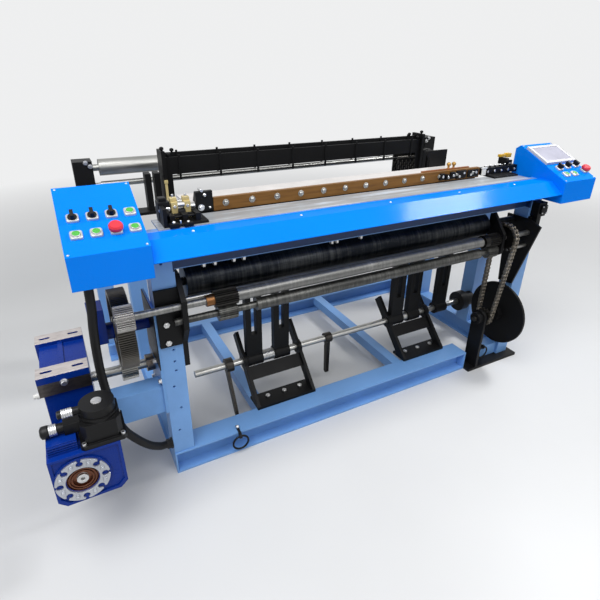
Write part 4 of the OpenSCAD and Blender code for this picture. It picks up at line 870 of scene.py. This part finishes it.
def add_area(name, place, target, size, watts):
    """A square lamp aimed at a point."""
    light = bpy.data.lights.new(name, "AREA")
    light.shape = "SQUARE"
    light.size = size
    light.energy = watts
    obj = bpy.data.objects.new(name, light)
    bpy.context.scene.collection.objects.link(obj)
    obj.location = place
    obj.rotation_euler = (Vector(target) - Vector(place)).to_track_quat("-Z", "Y").to_euler()


def add_floor():
    """A pale floor that runs out into the backdrop's tone."""
    mesh = bpy.data.meshes.new("floor")
    h = FLOOR_SIZE / 2
    mesh.from_pydata([(-h, -h, 0), (h, -h, 0), (h, h, 0), (-h, h, 0)], [], [(0, 1, 2, 3)])
    floor = bpy.data.objects.new("floor", mesh)
    bpy.context.scene.collection.objects.link(floor)
    n = Nodes("pale_floor")
    n.link(n.ramp(n.noise(0.8, 4.0), [(0.3, tint(FLOOR_COLOUR, 0.97)), (0.7, tint(FLOOR_COLOUR, 1.03))]),
           n.shader.inputs["Base Color"])
    n.set(Roughness=0.45)
    x, y, _ = n.axes()
    away = n.math("SQRT", n.math("ADD", n.math("MULTIPLY", x, x), n.math("MULTIPLY", y, y)))
    fade = n.add("ShaderNodeMapRange")
    fade.inputs["From Min"].default_value = FLOOR_NEAR
    fade.inputs["From Max"].default_value = FLOOR_FAR
    n.link(away, fade.inputs["Value"])
    seen = n.math("MULTIPLY", fade.outputs["Result"], n.add("ShaderNodeLightPath").outputs["Is Camera Ray"])
    glow = n.add("ShaderNodeEmission")
    glow.inputs["Color"].default_value = (*BACKDROP, 1.0)
    mix = n.add("ShaderNodeMixShader")
    n.link(seen, mix.inputs["Fac"])
    n.link(n.shader.outputs[0], mix.inputs[1])
    n.link(glow.outputs[0], mix.inputs[2])
    n.link(mix.outputs[0], n.tree.nodes["Material Output"].inputs["Surface"])
    mesh.materials.append(n.material)


def add_world():
    """Dim soft light all round; what is seen of it directly or mirrored is the pale backdrop."""
    world = bpy.data.worlds.new("studio")
    bpy.context.scene.world = world
    world.use_nodes = True
    tree = world.node_tree
    soft = tree.nodes["Background"]
    soft.inputs["Color"].default_value = (*WORLD_COLOUR, 1.0)
    soft.inputs["Strength"].default_value = WORLD_STRENGTH
    pale = tree.nodes.new("ShaderNodeBackground")
    pale.inputs["Color"].default_value = (*BACKDROP, 1.0)
    path = tree.nodes.new("ShaderNodeLightPath")
    either = tree.nodes.new("ShaderNodeMath")
    either.operation = "MAXIMUM"
    glossy = tree.nodes.new("ShaderNodeMath")
    glossy.operation = "MAXIMUM"
    tree.links.new(path.outputs["Is Camera Ray"], either.inputs[0])
    tree.links.new(path.outputs["Is Transmission Ray"], either.inputs[1])
    tree.links.new(either.outputs[0], glossy.inputs[0])
    tree.links.new(path.outputs["Is Glossy Ray"], glossy.inputs[1])
    mix = tree.nodes.new("ShaderNodeMixShader")
    tree.links.new(glossy.outputs[0], mix.inputs["Fac"])
    tree.links.new(soft.outputs[0], mix.inputs[1])
    tree.links.new(pale.outputs[0], mix.inputs[2])
    tree.links.new(mix.outputs[0], tree.nodes["World Output"].inputs["Surface"])


def add_stage():
    add_floor()
    add_world()
    for lamp in LAMPS:
        add_area(*lamp)
    bpy.context.scene.view_settings.view_transform = "Standard"


add_camera()
dress_nodes()
add_conduit()
add_drive_details()
add_sley_details()
add_weft_details()
add_harness_details()
add_frame_details()
add_bezels()
add_screen()
add_stage()
